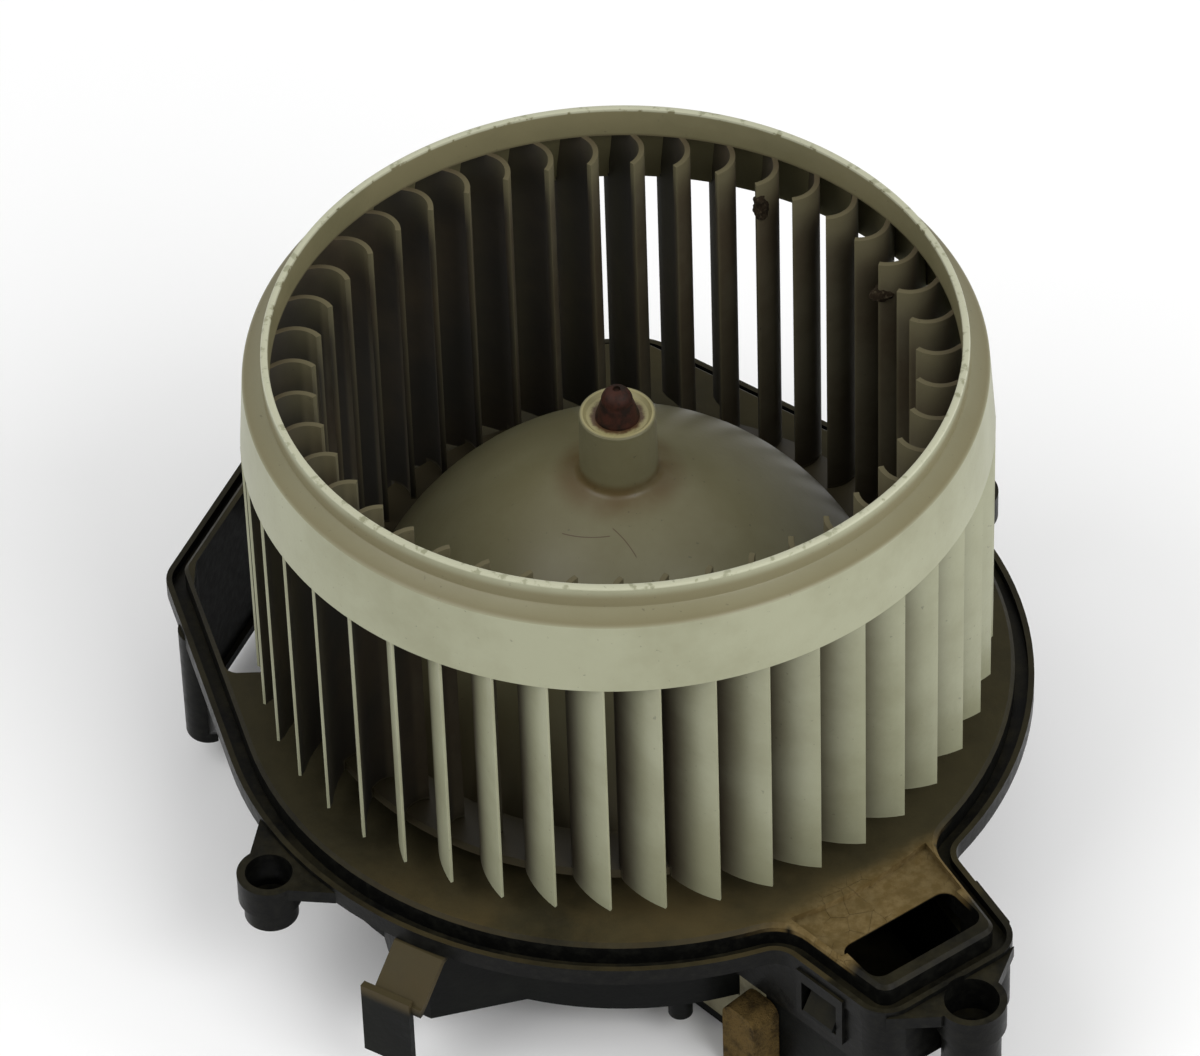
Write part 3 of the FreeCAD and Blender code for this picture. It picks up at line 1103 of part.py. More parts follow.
def hook(side):
    """Snap tongue on the channel with a nose that reaches out through its window."""
    sign = SIDES[side]
    along = "dim.hook_%s_at" % side
    x, y = polar(along, "dim.duct_angle",
                 "%s * (%s)" % (sign, duct_half(along, CHANNEL_INSET)))
    angle = "(dim.duct_angle - %s * %s + %s * 90)" % (sign, TAPER_ANGLE, sign)
    out = "(dim.skirt_wall + dim.channel_gap + dim.frame_%s_out + dim.hook_out)" % side
    nose_foot = "(dim.window_foot + dim.window_gap)"
    tip = "(dim.window_top - dim.window_gap)"
    return side_prism("hook_" + side, [
        ("0 - dim.cover_wall", "dim.skirt_foot + dim.channel_lap - 1"),
        ("0", "dim.skirt_foot + dim.channel_lap - 1"), ("0", nose_foot), (out, nose_foot),
        (out, "%s + dim.hook_out" % nose_foot), ("0", tip), ("0 - dim.cover_wall", tip),
    ], angle, "dim.hook_width", x, y)


def pin_box(name, number, grow, beyond):
    """Flat terminal blade through the floor of the socket."""
    x = "%d * dim.pin_pitch - dim.pin_pitch / 2" % number
    low = "(dim.cover_foot - dim.pin_foot - %d)" % beyond
    return centred_box(name, x, "dim.socket_y", low, "dim.pin_width + 2 * %s" % grow,
                       "dim.pin_wall + 2 * %s" % grow, "%s + dim.pin_length + %d * 2"
                       % (low, beyond))


def build_screws():
    """Four screws through the lower cover, each with a cross recess."""
    screws = []
    head_foot = "(dim.cover_foot - dim.screw_head_height)"
    for number in range(4):
        x, y = screw_place(number)
        head = cylinder("screw_head_%d" % number, "dim.screw_head_r", head_foot,
                        "dim.cover_foot", x, y)
        shank = cylinder("screw_shank_%d" % number, "dim.screw_r", "dim.cover_foot",
                         "dim.cover_foot + dim.screw_length", x, y)
        drive = [
            centred_box("drive_%d_%d" % (number, turn), x, y, "%s - 1" % head_foot,
                        ("dim.drive_span", "dim.drive_width")[turn],
                        ("dim.drive_width", "dim.drive_span")[turn],
                        "%s + dim.drive_depth" % head_foot) for turn in (0, 1)]
        screws.append(remove("screw_%d" % number, join("screw_blank_%d" % number,
                                                       [head, shank]), *drive))
    keep("cover_screws", join("cover_screws", screws))


def channel_side(along, out):
    """Place and direction on the channel's left wall, a distance out from its face."""
    x, y = polar(along, "dim.duct_angle", "0 - %s" % duct_half(along, CHANNEL_INSET))
    angle = "(dim.duct_angle + %s)" % TAPER_ANGLE
    return ("%s + (%s) * sin(%s)" % (x, out, angle),
            "%s - (%s) * cos(%s)" % (y, out, angle), angle)


def build_trim():
    """Bare label and foam pad stuck to the channel's left wall."""
    x, y, angle = channel_side("(dim.label_at - dim.label_width / 2)", "dim.label_wall")
    label = box("label_sheet", x, y, "dim.label_foot", "dim.label_width", "dim.label_wall",
                "(dim.skirt_foot - dim.lip_gap)", angle)
    tub = cylinder("label_limit", "dim.cover_r + dim.lip_gap", "dim.cover_foot - dim.lip_gap",
                   FLOOR_FOOT)
    keep("blank_label", remove("blank_label", label, tub))
    x, y, angle = channel_side("(dim.pad_at - dim.pad_width / 2)",
                               "dim.pad_wall + dim.label_wall")
    pad_block = box("pad_block", x, y, "dim.pad_top - dim.pad_length", "dim.pad_width",
                    "dim.pad_wall", "dim.pad_top", angle)
    doc.recompute()
    rounding = doc.addObject("Part::Fillet", "foam_pad")
    rounding.Base = pad_block
    top = value("dim.pad_top")
    radius = value("dim.pad_round")
    rounding.Edges = [(number + 1, radius, radius)
                      for number, edge in enumerate(pad_block.Shape.Edges)
                      if all(abs(vertex.Z - top) < 1e-6 for vertex in edge.Vertexes)
                      and edge.Length < value("dim.pad_width") - 0.5]
    keep("foam_pad", rounding)


def finish():
    """Recompute, check every object and write one STEP file for each sub-part."""
    doc.recompute()
    for item in doc.Objects:
        if "Invalid" in item.State or "Error" in item.State:
            raise RuntimeError("%s did not recompute" % item.Label)
    os.makedirs("parts", exist_ok=True)
    for feature in nodes:
        shape = feature.Shape
        if shape.isNull() or not shape.isValid():
            raise RuntimeError("%s has no valid shape" % feature.Label)
        shape.exportStep("parts/%s.step" % feature.Label)
        print("%-20s solids %d volume %.1f" % (feature.Label, len(shape.Solids), shape.Volume))


build_impeller()
build_shaft()
build_armature()
build_motor_case()
build_brush_gear()
build_base_plate()
build_lower_cover()
build_screws()
build_trim()
finish()
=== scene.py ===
from math import asin, atan2, cos, hypot, radians, sin, sqrt

import bpy
from mathutils import Matrix, Vector


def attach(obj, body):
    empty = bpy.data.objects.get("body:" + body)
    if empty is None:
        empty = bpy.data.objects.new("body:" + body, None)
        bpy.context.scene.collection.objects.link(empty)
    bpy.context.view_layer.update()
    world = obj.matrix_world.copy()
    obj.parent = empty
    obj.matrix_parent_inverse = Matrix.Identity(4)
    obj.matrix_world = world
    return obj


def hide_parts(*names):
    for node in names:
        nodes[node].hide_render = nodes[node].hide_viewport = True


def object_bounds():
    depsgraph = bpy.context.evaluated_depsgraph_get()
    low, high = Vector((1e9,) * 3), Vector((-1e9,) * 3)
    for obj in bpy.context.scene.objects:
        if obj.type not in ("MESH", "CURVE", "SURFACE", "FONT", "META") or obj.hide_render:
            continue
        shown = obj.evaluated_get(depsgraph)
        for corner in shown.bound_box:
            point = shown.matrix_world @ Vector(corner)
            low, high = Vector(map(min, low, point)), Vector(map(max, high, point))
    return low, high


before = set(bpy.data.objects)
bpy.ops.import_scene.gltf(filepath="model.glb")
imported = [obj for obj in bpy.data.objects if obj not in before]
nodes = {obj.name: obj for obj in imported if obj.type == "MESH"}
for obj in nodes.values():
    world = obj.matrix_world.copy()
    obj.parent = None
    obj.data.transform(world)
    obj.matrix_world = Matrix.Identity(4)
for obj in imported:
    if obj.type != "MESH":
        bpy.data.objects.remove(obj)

cad_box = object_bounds()


# Camera: the photograph's viewpoint, a long lens from the front and above with a slight roll. Its
# place was fitted to the ellipses of the wheel.
camera_elevation = radians(44.28)
camera_roll = radians(2.01)
camera_distance = 1.5352
camera_target = Vector((-0.00423, -0.02589, 0.06596))
camera_lens_mm = 234.36

camera_data = bpy.data.cameras.new("camera")
camera_data.lens = camera_lens_mm
camera_data.sensor_width = 36.0
camera_data.sensor_fit = "HORIZONTAL"
camera_data.clip_end = 20.0
camera = bpy.data.objects.new("camera", camera_data)
bpy.context.scene.collection.objects.link(camera)
view_line = Vector((0.0, cos(camera_elevation), -sin(camera_elevation)))
camera.matrix_world = (
    Matrix.Translation(camera_target - camera_distance * view_line)
    @ Matrix.Rotation(radians(90.0) - camera_elevation, 4, "X")
    @ Matrix.Rotation(-camera_roll, 4, "Z")
)
bpy.context.scene.camera = camera
bpy.context.scene.view_settings.view_transform = "Standard"


# Studio: an even pale world, white to the camera, and three large soft lamps, the strongest one in
# front on the right, so that the wheel is lit evenly with soft shade inside.
world_level = 0.62
lamp_target = Vector((0.0, 0.0, 0.04))
lamp_plan = (
    ("key_lamp", (1.0, -1.25, 1.45), 1.3, 18.0),
    ("side_lamp", (1.5, -0.35, 0.55), 0.8, 6.0),
    ("fill_lamp", (-1.2, -0.6, 1.5), 1.5, 14.0),
)

world = bpy.data.worlds.new("studio")
world.use_nodes = True
sky = world.node_tree
sky.nodes["Background"].inputs["Color"].default_value = (1, 1, 1, 1)
sky.nodes["Background"].inputs["Strength"].default_value = world_level
white_back = sky.nodes.new("ShaderNodeBackground")
white_back.inputs["Strength"].default_value = 1.0
rays = sky.nodes.new("ShaderNodeLightPath")
sky_mix = sky.nodes.new("ShaderNodeMixShader")
seen = sky.nodes.new("ShaderNodeMath")
seen.operation = "MAXIMUM"
seen_clear = sky.nodes.new("ShaderNodeMath")
seen_clear.operation = "MAXIMUM"
sky.links.new(rays.outputs["Is Camera Ray"], seen.inputs[0])
sky.links.new(rays.outputs["Is Glossy Ray"], seen.inputs[1])
sky.links.new(seen.outputs[0], seen_clear.inputs[0])
sky.links.new(rays.outputs["Is Transmission Ray"], seen_clear.inputs[1])
sky.links.new(seen_clear.outputs[0], sky_mix.inputs["Fac"])
sky.links.new(sky.nodes["Background"].outputs[0], sky_mix.inputs[1])
sky.links.new(white_back.outputs[0], sky_mix.inputs[2])
sky.links.new(sky_mix.outputs[0], sky.nodes["World Output"].inputs["Surface"])
bpy.context.scene.world = world

for lamp_name, lamp_place, lamp_size, lamp_power in lamp_plan:
    lamp_data = bpy.data.lights.new(lamp_name, "AREA")
    lamp_data.shape = "DISK"
    lamp_data.size = lamp_size
    lamp_data.energy = lamp_power
    lamp = bpy.data.objects.new(lamp_name, lamp_data)
    lamp.location = lamp_place
    aim = lamp_target - Vector(lamp_place)
    lamp.rotation_euler = aim.to_track_quat("-Z", "Y").to_euler()
    bpy.context.scene.collection.objects.link(lamp)


# Floor: a plain white sheet just under the blower, wide enough to fill the frame. It only takes the
# blower's shadow and isn't part of it.
def linear(red, green, blue):
    """Scene-linear colour for an sRGB colour with channels from 0 to 255."""
    return tuple(c / 3294.6 if c <= 10 else ((c / 255 + 0.055) / 1.055) ** 2.4
                 for c in (red, green, blue)) + (1.0,)


def shade(name, roughness, metallic=0.0, specular=0.5):
    """New material with its tree and its Principled shader."""
    material = bpy.data.materials.new(name)
    material.use_nodes = True
    shader = material.node_tree.nodes["Principled BSDF"]
    shader.inputs["Roughness"].default_value = roughness
    shader.inputs["Metallic"].default_value = metallic
    shader.inputs["Specular IOR Level"].default_value = specular
    return material, material.node_tree, shader


floor_colour = linear(250, 250, 250)
floor_size = 6.0
floor_gap = 0.0005
bpy.ops.mesh.primitive_plane_add(size=floor_size,
                                 location=(0.0, 0.0, cad_box[0][2] - floor_gap))
floor = bpy.context.object
floor.name = "floor"
floor_material, _, floor_shader = shade("floor_white", 0.9, specular=0.1)
floor_shader.inputs["Base Color"].default_value = floor_colour
floor.data.materials.append(floor_material)


# Wheel: one moulding of greenish-cream plastic, pressed on the motor's shaft. Its outside is nearly
# clean, dust lies on the shoulder, brown road dirt has settled inside, and the hollow side of each
# blade is dark with brown dirt and painted shade.
def add(tree, kind, settings=None, **inputs):
    """New node; each input is a number, a colour or another node's output."""
    node = tree.nodes.new(kind)
    for key, setting in (settings or {}).items():
        setattr(node, key, setting)
    for key, content in inputs.items():
        socket = node.inputs[int(key[1:])] if key[1:].isdigit() else node.inputs[key]
        if isinstance(content, bpy.types.NodeSocket):
            tree.links.new(content, socket)
        else:
            socket.default_value = content
    return node


def sums(tree, operation, first, second=0.0):
    return add(tree, "ShaderNodeMath", {"operation": operation}, i0=first, i1=second).outputs[0]


def product(tree, *factors):
    """Product of masks and numbers."""
    result = factors[0]
    for factor in factors[1:]:
        result = sums(tree, "MULTIPLY", result, factor)
    return result


def span(tree, along_x, along_y):
    """Length of a flat vector."""
    return sums(tree, "SQRT", sums(tree, "ADD", product(tree, along_x, along_x),
                                   product(tree, along_y, along_y)))


def ramp(tree, source, low, high, start=0.0, end=1.0):
    """Smooth step of a value from start at low to end at high."""
    node = add(tree, "ShaderNodeMapRange", {"interpolation_type": "SMOOTHSTEP"},
               i0=source, i1=low, i2=high, i3=start, i4=end)
    return node.outputs[0]


def tint(tree, factor, first, second):
    node = add(tree, "ShaderNodeMix", {"data_type": "RGBA"}, i0=factor, i6=first, i7=second)
    return node.outputs[2]


def grain(tree, place, scale, detail=4.0, rough=0.55):
    return add(tree, "ShaderNodeTexNoise", None, Vector=place, Scale=scale, Detail=detail,
               Roughness=rough).outputs["Fac"]


def bumped(tree, shader, height, distance, strength=1.0):
    node = add(tree, "ShaderNodeBump", None, Height=height, Distance=distance, Strength=strength)
    tree.links.new(node.outputs[0], shader.inputs["Normal"])


def coordinates(tree):
    """Place and facing of a point on the piece, in the piece's own frame."""
    node = tree.nodes.new("ShaderNodeTexCoord")
    return node.outputs["Object"], node.outputs["Normal"]


def dust_group():
    """Group: mask of settled dust from the surface's facing, broken up by noise."""
    group = bpy.data.node_groups.new("settled_dust", "ShaderNodeTree")
    for socket, kind in (("Place", "NodeSocketVector"), ("Facing", "NodeSocketVector"),
                         ("Scale", "NodeSocketFloat"), ("Amount", "NodeSocketFloat")):
        group.interface.new_socket(socket, in_out="INPUT", socket_type=kind)
    group.interface.new_socket("Mask", in_out="OUTPUT", socket_type="NodeSocketFloat")
    source = group.nodes.new("NodeGroupInput")
    result = group.nodes.new("NodeGroupOutput")
    facing = add(group, "ShaderNodeSeparateXYZ", None, Vector=source.outputs["Facing"])
    level = ramp(group, facing.outputs["Z"], 0.2, 0.95)
    patches = grain(group, source.outputs["Place"], source.outputs["Scale"], 6.0, 0.65)
    broken = ramp(group, patches, 0.32, 0.72)
    mask = sums(group, "MULTIPLY", sums(group, "MULTIPLY", level, broken),
                source.outputs["Amount"])
    group.links.new(mask, result.inputs["Mask"])
    return group


settled_dust = dust_group()


def dusted(tree, place, facing, scale, amount):
    node = add(tree, "ShaderNodeGroup", {"node_tree": settled_dust}, Place=place, Facing=facing,
               Scale=scale, Amount=amount)
    return node.outputs["Mask"]


blade_foot = 0.0082
blade_top = 0.0855
blade_inner_r = 0.0592
ring_top = 0.0104
ring_out_r = 0.0660
neck_foot = 0.0858
lip_height = 0.0922
lip_bore_r = 0.0680
hub_mouth_height = 0.0712
hub_mouth_r = 0.0076

wheel_cream = linear(148, 149, 124)
wheel_shade = linear(134, 134, 108)
wheel_tan = linear(108, 101, 72)
wheel_film = linear(98, 93, 66)
wheel_brown = linear(64, 54, 37)
wheel_dark = linear(36, 33, 26)
lip_wear_and_highlight = linear(182, 182, 158)
mouth_cream = linear(150, 142, 100)
stain_brown = linear(84, 69, 40)
rust_brown = linear(62, 34, 18)

mottle_scale = 38.0
speck_scale = 900.0
stain_scale = 110.0
ragged_scale = 700.0
ragged_depth = 0.0022
chip_scale = 380.0

wheel_material, tree, shader = shade("wheel_plastic", 0.42, specular=0.35)
place, facing = coordinates(tree)
at = add(tree, "ShaderNodeSeparateXYZ", None, Vector=place).outputs
to = add(tree, "ShaderNodeSeparateXYZ", None, Vector=facing).outputs
radius = span(tree, at["X"], at["Y"])
height = at["Z"]
# How far the surface faces outward from the axis, and how far it faces along the turning.
outward = sums(tree, "DIVIDE", sums(tree, "ADD", product(tree, at["X"], to["X"]),
                                    product(tree, at["Y"], to["Y"])), radius)
turn = sums(tree, "DIVIDE", sums(tree, "SUBTRACT", product(tree, at["X"], to["Y"]),
                                 product(tree, at["Y"], to["X"])), radius)
clouds = grain(tree, place, mottle_scale, 5.0, 0.6)
specks = grain(tree, place, speck_scale, 2.0, 0.5)
colour = tint(tree, ramp(tree, clouds, 0.35, 0.7), wheel_cream, wheel_shade)
# Dust on the shoulder and in the corner under the lip.
shoulder = product(tree, ramp(tree, to["Z"], 0.45, 0.9), ramp(tree, height, 0.0895, blade_top),
                   ramp(tree, height, 0.083, 0.0845))
colour = tint(tree, shoulder, colour, wheel_tan)
neck = product(tree, ramp(tree, height, 0.0918, 0.0895), ramp(tree, outward, 0.3, 0.8),
               ramp(tree, height, neck_foot, 0.087), 0.9)
colour = tint(tree, neck, colour, wheel_tan)
# Tan film on the inside of the ring.
ring_inside = product(tree, ramp(tree, outward, -0.2, -0.7),
                      ramp(tree, radius, ring_out_r, 0.0675), 0.9)
colour = tint(tree, ring_inside, colour,
              tint(tree, ramp(tree, clouds, 0.3, 0.7), wheel_tan, wheel_film))
# Blades: brown towards their inner edges, dark dirt and painted shade on the hollow side, tan dust
# on the inner tips.
above_ring = sums(tree, "MAXIMUM", ramp(tree, height, ring_top, 0.0112),
                  ramp(tree, radius, 0.0662, 0.0668))
blade_zone = product(tree, ramp(tree, radius, 0.0580, blade_inner_r),
                     ramp(tree, height, 0.0862, blade_top), above_ring)
inner_half = product(tree, ramp(tree, radius, 0.0740, 0.0665), blade_zone)
dirty_in = product(tree, inner_half, ramp(tree, clouds, 0.2, 0.75, 0.8, 1.0))
colour = tint(tree, dirty_in, colour, wheel_brown)
# Painted shade: the hollow side of each blade is darkened nearly to black, mixed with its brown
# dirt.
hollow_dirt_and_shade = product(tree, ramp(tree, turn, 0.12, 0.45), blade_zone, ramp(tree, outward, 0.45, 0.2))
colour = tint(tree, product(tree, hollow_dirt_and_shade, 0.97), colour,
              tint(tree, ramp(tree, clouds, 0.35, 0.85), wheel_dark, wheel_brown))
tips = product(tree, ramp(tree, height, 0.0745, 0.0850), ramp(tree, radius, 0.0690, 0.0610),
               blade_zone, 0.55)
colour = tint(tree, tips, colour, wheel_film)
inner_edge = product(tree, ramp(tree, outward, -0.6, -0.9), blade_zone, 0.4)
colour = tint(tree, inner_edge, colour, wheel_film)
# Dome, flat ring and hub: an even film, browner at the rim, with a stain round the hub's foot.
flat_ring = product(tree, ramp(tree, height, 0.0112, 0.0105), ramp(tree, radius, 0.0668, 0.0662))
inside_floor = sums(tree, "MAXIMUM", ramp(tree, radius, blade_inner_r, 0.0575), flat_ring)
film = product(tree, inside_floor, ramp(tree, clouds, 0.2, 0.8, 0.8, 1.0))
colour = tint(tree, film, colour, wheel_film)
rim_film = product(tree, ramp(tree, radius, 0.038, 0.060), inside_floor, 0.75)
colour = tint(tree, rim_film, colour, wheel_brown)
# Darker on the dome's outer edge and on the flat ring between the blades' feet.
rim_floor_darkening = product(tree, ramp(tree, radius, 0.0545, 0.0570), inside_floor, 0.3)
colour = tint(tree, rim_floor_darkening, colour, wheel_dark)
soft = grain(tree, place, stain_scale, 3.0, 0.5)
foot_stain = product(tree, ramp(tree, height, 0.0606, 0.0582), ramp(tree, radius, 0.0150, 0.0095),
                     ramp(tree, soft, 0.25, 0.6, 0.35, 0.9))
colour = tint(tree, foot_stain, colour, stain_brown)
# The hub's mouth is paler, with a ragged ring of rust round the cap.
mouth = product(tree, ramp(tree, radius, hub_mouth_r, 0.0070),
                ramp(tree, height, 0.0700, hub_mouth_height))
colour = tint(tree, product(tree, mouth, 0.8), colour, mouth_cream)
ragged = product(tree, grain(tree, place, ragged_scale, 4.0, 0.7), ragged_depth)
mouth_stain = product(tree, ramp(tree, sums(tree, "ADD", radius, ragged), 0.0070, 0.0058), mouth,
                      0.9)
colour = tint(tree, mouth_stain, colour, rust_brown)
# Two hair-thin scratches on the front of the dome, each a short piece of a large circle, given
# as the circle's centre and radius and the scratch's left and right ends.
scratch_plan = (
    (-0.0035, 0.0005, 0.0167, -0.0116, -0.0021),
    (-0.0190, -0.0330, 0.0252, -0.0015, 0.0030),
)
scratch_half = 0.00016
scratch_core = 0.00005
scratch_fade = 0.0004
for scratch_x, scratch_y, scratch_r, left_end, right_end in scratch_plan:
    away = span(tree, sums(tree, "SUBTRACT", at["X"], scratch_x),
                sums(tree, "SUBTRACT", at["Y"], scratch_y))
    off_line = sums(tree, "ABSOLUTE", sums(tree, "SUBTRACT", away, scratch_r))
    scratch = product(tree, ramp(tree, off_line, scratch_half, scratch_core),
                      ramp(tree, at["Y"], -0.005, -0.010),
                      ramp(tree, at["X"], left_end - scratch_fade, left_end),
                      ramp(tree, at["X"], right_end, right_end - scratch_fade),
                      ramp(tree, height, 0.0500, 0.0510), 0.7)
    colour = tint(tree, scratch, colour, rust_brown)
# The lip is rubbed pale, with small chips; the pale colour is also a painted highlight along the
# lip's top.
chips = ramp(tree, grain(tree, place, chip_scale, 3.0, 0.6), 0.36, 0.46)
rubbed_and_highlight = product(tree, ramp(tree, height, 0.09175, lip_height), chips,
                 ramp(tree, radius, 0.0675, lip_bore_r), 0.75)
colour = tint(tree, rubbed_and_highlight, colour, lip_wear_and_highlight)
# Fine dark specks over everything.
colour = tint(tree, ramp(tree, specks, 0.70, 0.78, 0.0, 0.35), colour, wheel_dark)
tree.links.new(colour, shader.inputs["Base Color"])
tree.links.new(ramp(tree, sums(tree, "MAXIMUM", inner_half, hollow_dirt_and_shade), 0.0, 1.0, 0.40, 0.8),
               shader.inputs["Roughness"])
bumped(tree, shader, sums(tree, "ADD", clouds, product(tree, specks, 0.25)), 0.00012)


def turned(name, section, sides):
    """Closed solid of revolution: a circle drawn out from ring to ring of (radius, height)."""
    bpy.ops.object.select_all(action="DESELECT")
    bpy.ops.mesh.primitive_circle_add(vertices=sides, radius=section[0][0],
                                      location=(0.0, 0.0, section[0][1]))
    solid = bpy.context.object
    solid.name = name
    bpy.ops.object.transform_apply(location=True)
    bpy.ops.object.mode_set(mode="EDIT")
    bpy.ops.mesh.select_all(action="SELECT")
    for (radius_from, height_from), (radius_to, height_to) in zip(section,
                                                                  section[1:] + section[:1]):
        grow = radius_to / radius_from
        bpy.ops.mesh.extrude_region_move()
        bpy.ops.transform.resize(value=(grow, grow, 1.0), center_override=(0.0, 0.0, 0.0))
        bpy.ops.transform.translate(value=(0.0, 0.0, height_to - height_from))
    bpy.ops.mesh.select_all(action="SELECT")
    bpy.ops.mesh.remove_doubles(threshold=0.00002)
    bpy.ops.mesh.normals_make_consistent(inside=False)
    bpy.ops.object.mode_set(mode="OBJECT")
    return solid


ring_section = (
    (0.0683, 0.0855), (0.0683, 0.0921), (0.06842, 0.09238), (0.0687, 0.0925), (0.0693, 0.0925),
    (0.06962, 0.0924), (0.06978, 0.0921), (0.0698, 0.0917), (0.0698, 0.0881), (0.0699, 0.0877),
    (0.0703, 0.08735), (0.0730, 0.0863), (0.0735, 0.08605), (0.07378, 0.0857), (0.07385, 0.0852),
    (0.0750, 0.0699), (0.0734, 0.0699), (0.0722, 0.0842),
)
ring_sides = 256
hub_sides = 128
hub_bore_r = 0.00303
shell_wall = 0.002
dome_rim = Vector((0.0555, ring_top))
dome_crown = Vector((0.0091, 0.0568))
dome_curve_r = 0.070
dome_steps = 16
dome_half = (dome_crown - dome_rim) / 2
dome_centre = (dome_rim + dome_half
               - Vector((dome_half.y, -dome_half.x)).normalized()
               * sqrt(dome_curve_r ** 2 - dome_half.length ** 2))
dome_start = atan2(dome_rim.y - dome_centre.y, dome_rim.x - dome_centre.x)
dome_sweep = 2 * asin(dome_half.length / dome_curve_r)


def dome_points(thickness):
    """Rings from the dome's rim to its crown, the shell's thickness under the outside."""
    swing = [dome_start + dome_sweep * step / dome_steps for step in range(dome_steps + 1)]
    return [(dome_centre.x + (dome_curve_r - thickness) * cos(angle),
             dome_centre.y + (dome_curve_r - thickness) * sin(angle)) for angle in swing]


hub_section = (
    [(hub_bore_r, 0.048), (0.0079, 0.048), (0.0079, 0.0548)]
    + dome_points(shell_wall)[-2:0:-1]
    + [(0.0535, blade_foot), (ring_out_r, blade_foot), (ring_out_r, ring_top)]
    + dome_points(0.0)
    + [(0.0085, 0.05715), (0.0081, 0.0577), (0.0079, 0.0586), (0.0077, 0.0722),
       (0.0075, 0.0725), (0.0069, 0.0725), (0.0066, 0.0721), (0.0062, 0.0718),
       (0.00443, 0.0716), (0.00443, 0.0709), (hub_bore_r, 0.0709)])

wheel = turned("wheel", ring_section, ring_sides)
hub = turned("hub", hub_section, hub_sides)

# Each blade: an upright strip bent through 80 degrees at its inner edge and through 25 degrees in
# a wider arc outside. Above the band's foot its outer edge is drawn in behind the band, and below
# it the edge is thinned.
blade_count = 43
blade_wall = 0.0011
bend_centre = Vector((0.06375, 0.00568, 0.0))
bend_r = 0.0059
bend_from = radians(-133.9)
bend_to = radians(-54.0)
bend_steps = 12
lean_r = 0.0240
lean_sweep = radians(25.0)
lean_steps = 6
band_foot = 0.0700
band_lap = 0.0010
band_pull = 0.0018
pull_turn = radians(53.6)
pulled_from_r = 0.0738
thinned_from_r = 0.0724
blade_end_turn = radians(6.7)
edge_thinning = 0.0005
edge_bevel = 0.00018
sharp_angle = radians(50.0)
blade_first = radians(0.3)
smooth_angle = radians(28.0)

bpy.ops.object.select_all(action="DESELECT")
bpy.ops.mesh.primitive_plane_add(size=1.0, rotation=(radians(90.0), 0.0, 0.0))
blade = bpy.context.object
blade.scale = (blade_wall, blade_top - blade_foot, 1.0)
bpy.ops.object.transform_apply(location=True, rotation=True, scale=True)
blade.data.transform(Matrix.Translation((bend_centre.x + bend_r * cos(bend_from),
                                         bend_centre.y + bend_r * sin(bend_from),
                                         (blade_top + blade_foot) / 2))
                     @ Matrix.Rotation(bend_from, 4, "Z"))
bpy.ops.object.mode_set(mode="EDIT")
bpy.ops.mesh.select_all(action="SELECT")
bpy.ops.mesh.spin(steps=bend_steps, angle=bend_to - bend_from, center=bend_centre,
                  axis=(0.0, 0.0, -1.0))
lean_centre = bend_centre - (lean_r - bend_r) * Vector((cos(bend_to), sin(bend_to), 0.0))
bpy.ops.mesh.spin(steps=lean_steps, angle=lean_sweep, center=lean_centre, axis=(0.0, 0.0, -1.0))
bpy.ops.mesh.select_all(action="SELECT")
bpy.ops.mesh.remove_doubles(threshold=0.00001)
for cut in (band_foot, band_foot + band_lap):
    bpy.ops.mesh.select_all(action="SELECT")
    bpy.ops.mesh.bisect(plane_co=(0.0, 0.0, cut), plane_no=(0.0, 0.0, 1.0))
bpy.ops.mesh.select_all(action="SELECT")
bpy.ops.mesh.normals_make_consistent(inside=False)
bpy.ops.mesh.select_all(action="DESELECT")
bpy.ops.object.mode_set(mode="OBJECT")
for corner in blade.data.vertices:
    corner.select = (hypot(corner.co.x, corner.co.y) > pulled_from_r
                     and corner.co.z > band_foot + band_lap / 2)
bpy.ops.object.mode_set(mode="EDIT")
bpy.ops.transform.translate(value=(-band_pull * cos(pull_turn), -band_pull * sin(pull_turn), 0.0))
bpy.ops.mesh.select_all(action="DESELECT")
bpy.ops.object.mode_set(mode="OBJECT")
for corner in blade.data.vertices:
    corner.select = (hypot(corner.co.x, corner.co.y) > thinned_from_r
                     and atan2(corner.co.y, corner.co.x) > blade_end_turn)
bpy.ops.object.mode_set(mode="EDIT")
bpy.ops.transform.translate(value=(edge_thinning * cos(bend_to + lean_sweep),
                                   edge_thinning * sin(bend_to + lean_sweep), 0.0))
bpy.ops.object.mode_set(mode="OBJECT")
blade_bevel = blade.modifiers.new("worn_edges", "BEVEL")
blade_bevel.width = edge_bevel
blade_bevel.segments = 2
blade_bevel.angle_limit = sharp_angle
bpy.ops.object.modifier_apply(modifier=blade_bevel.name)
blade.data.transform(Matrix.Rotation(blade_first, 4, "Z"))
for number in range(1, blade_count):
    twin = blade.copy()
    twin.data = blade.data.copy()
    twin.data.transform(Matrix.Rotation(radians(360.0) * number / blade_count, 4, "Z"))
    bpy.context.scene.collection.objects.link(twin)
    twin.select_set(True)
blade.select_set(True)
hub.select_set(True)
wheel.select_set(True)
bpy.context.view_layer.objects.active = wheel
bpy.ops.object.join()
bpy.ops.object.shade_smooth_by_angle(angle=smooth_angle)
wheel.data.materials.clear()
wheel.data.materials.append(wheel_material)
for face in wheel.data.polygons:
    face.material_index = 0
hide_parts("impeller")
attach(wheel, "rotor")


# Dirt: two clumps of dried road dirt caught on the inner edges of blades near the top of the wheel.
# Each is a ball drawn out long and made lumpy, given as its turn, radius, height and half sizes.
clump_brown = linear(40, 32, 22)
clump_grey = linear(92, 84, 66)
clump_plan = (
    ("dirt_clump_back", radians(59.6), 0.0602, 0.0792, (0.0017, 0.0013, 0.0034)),
    ("dirt_clump_right", radians(26.2), 0.0602, 0.0776, (0.0028, 0.0021, 0.0014)),
)
clump_lumps = 0.0024
lump_scale = 0.0022
crumb_scale = 1200.0

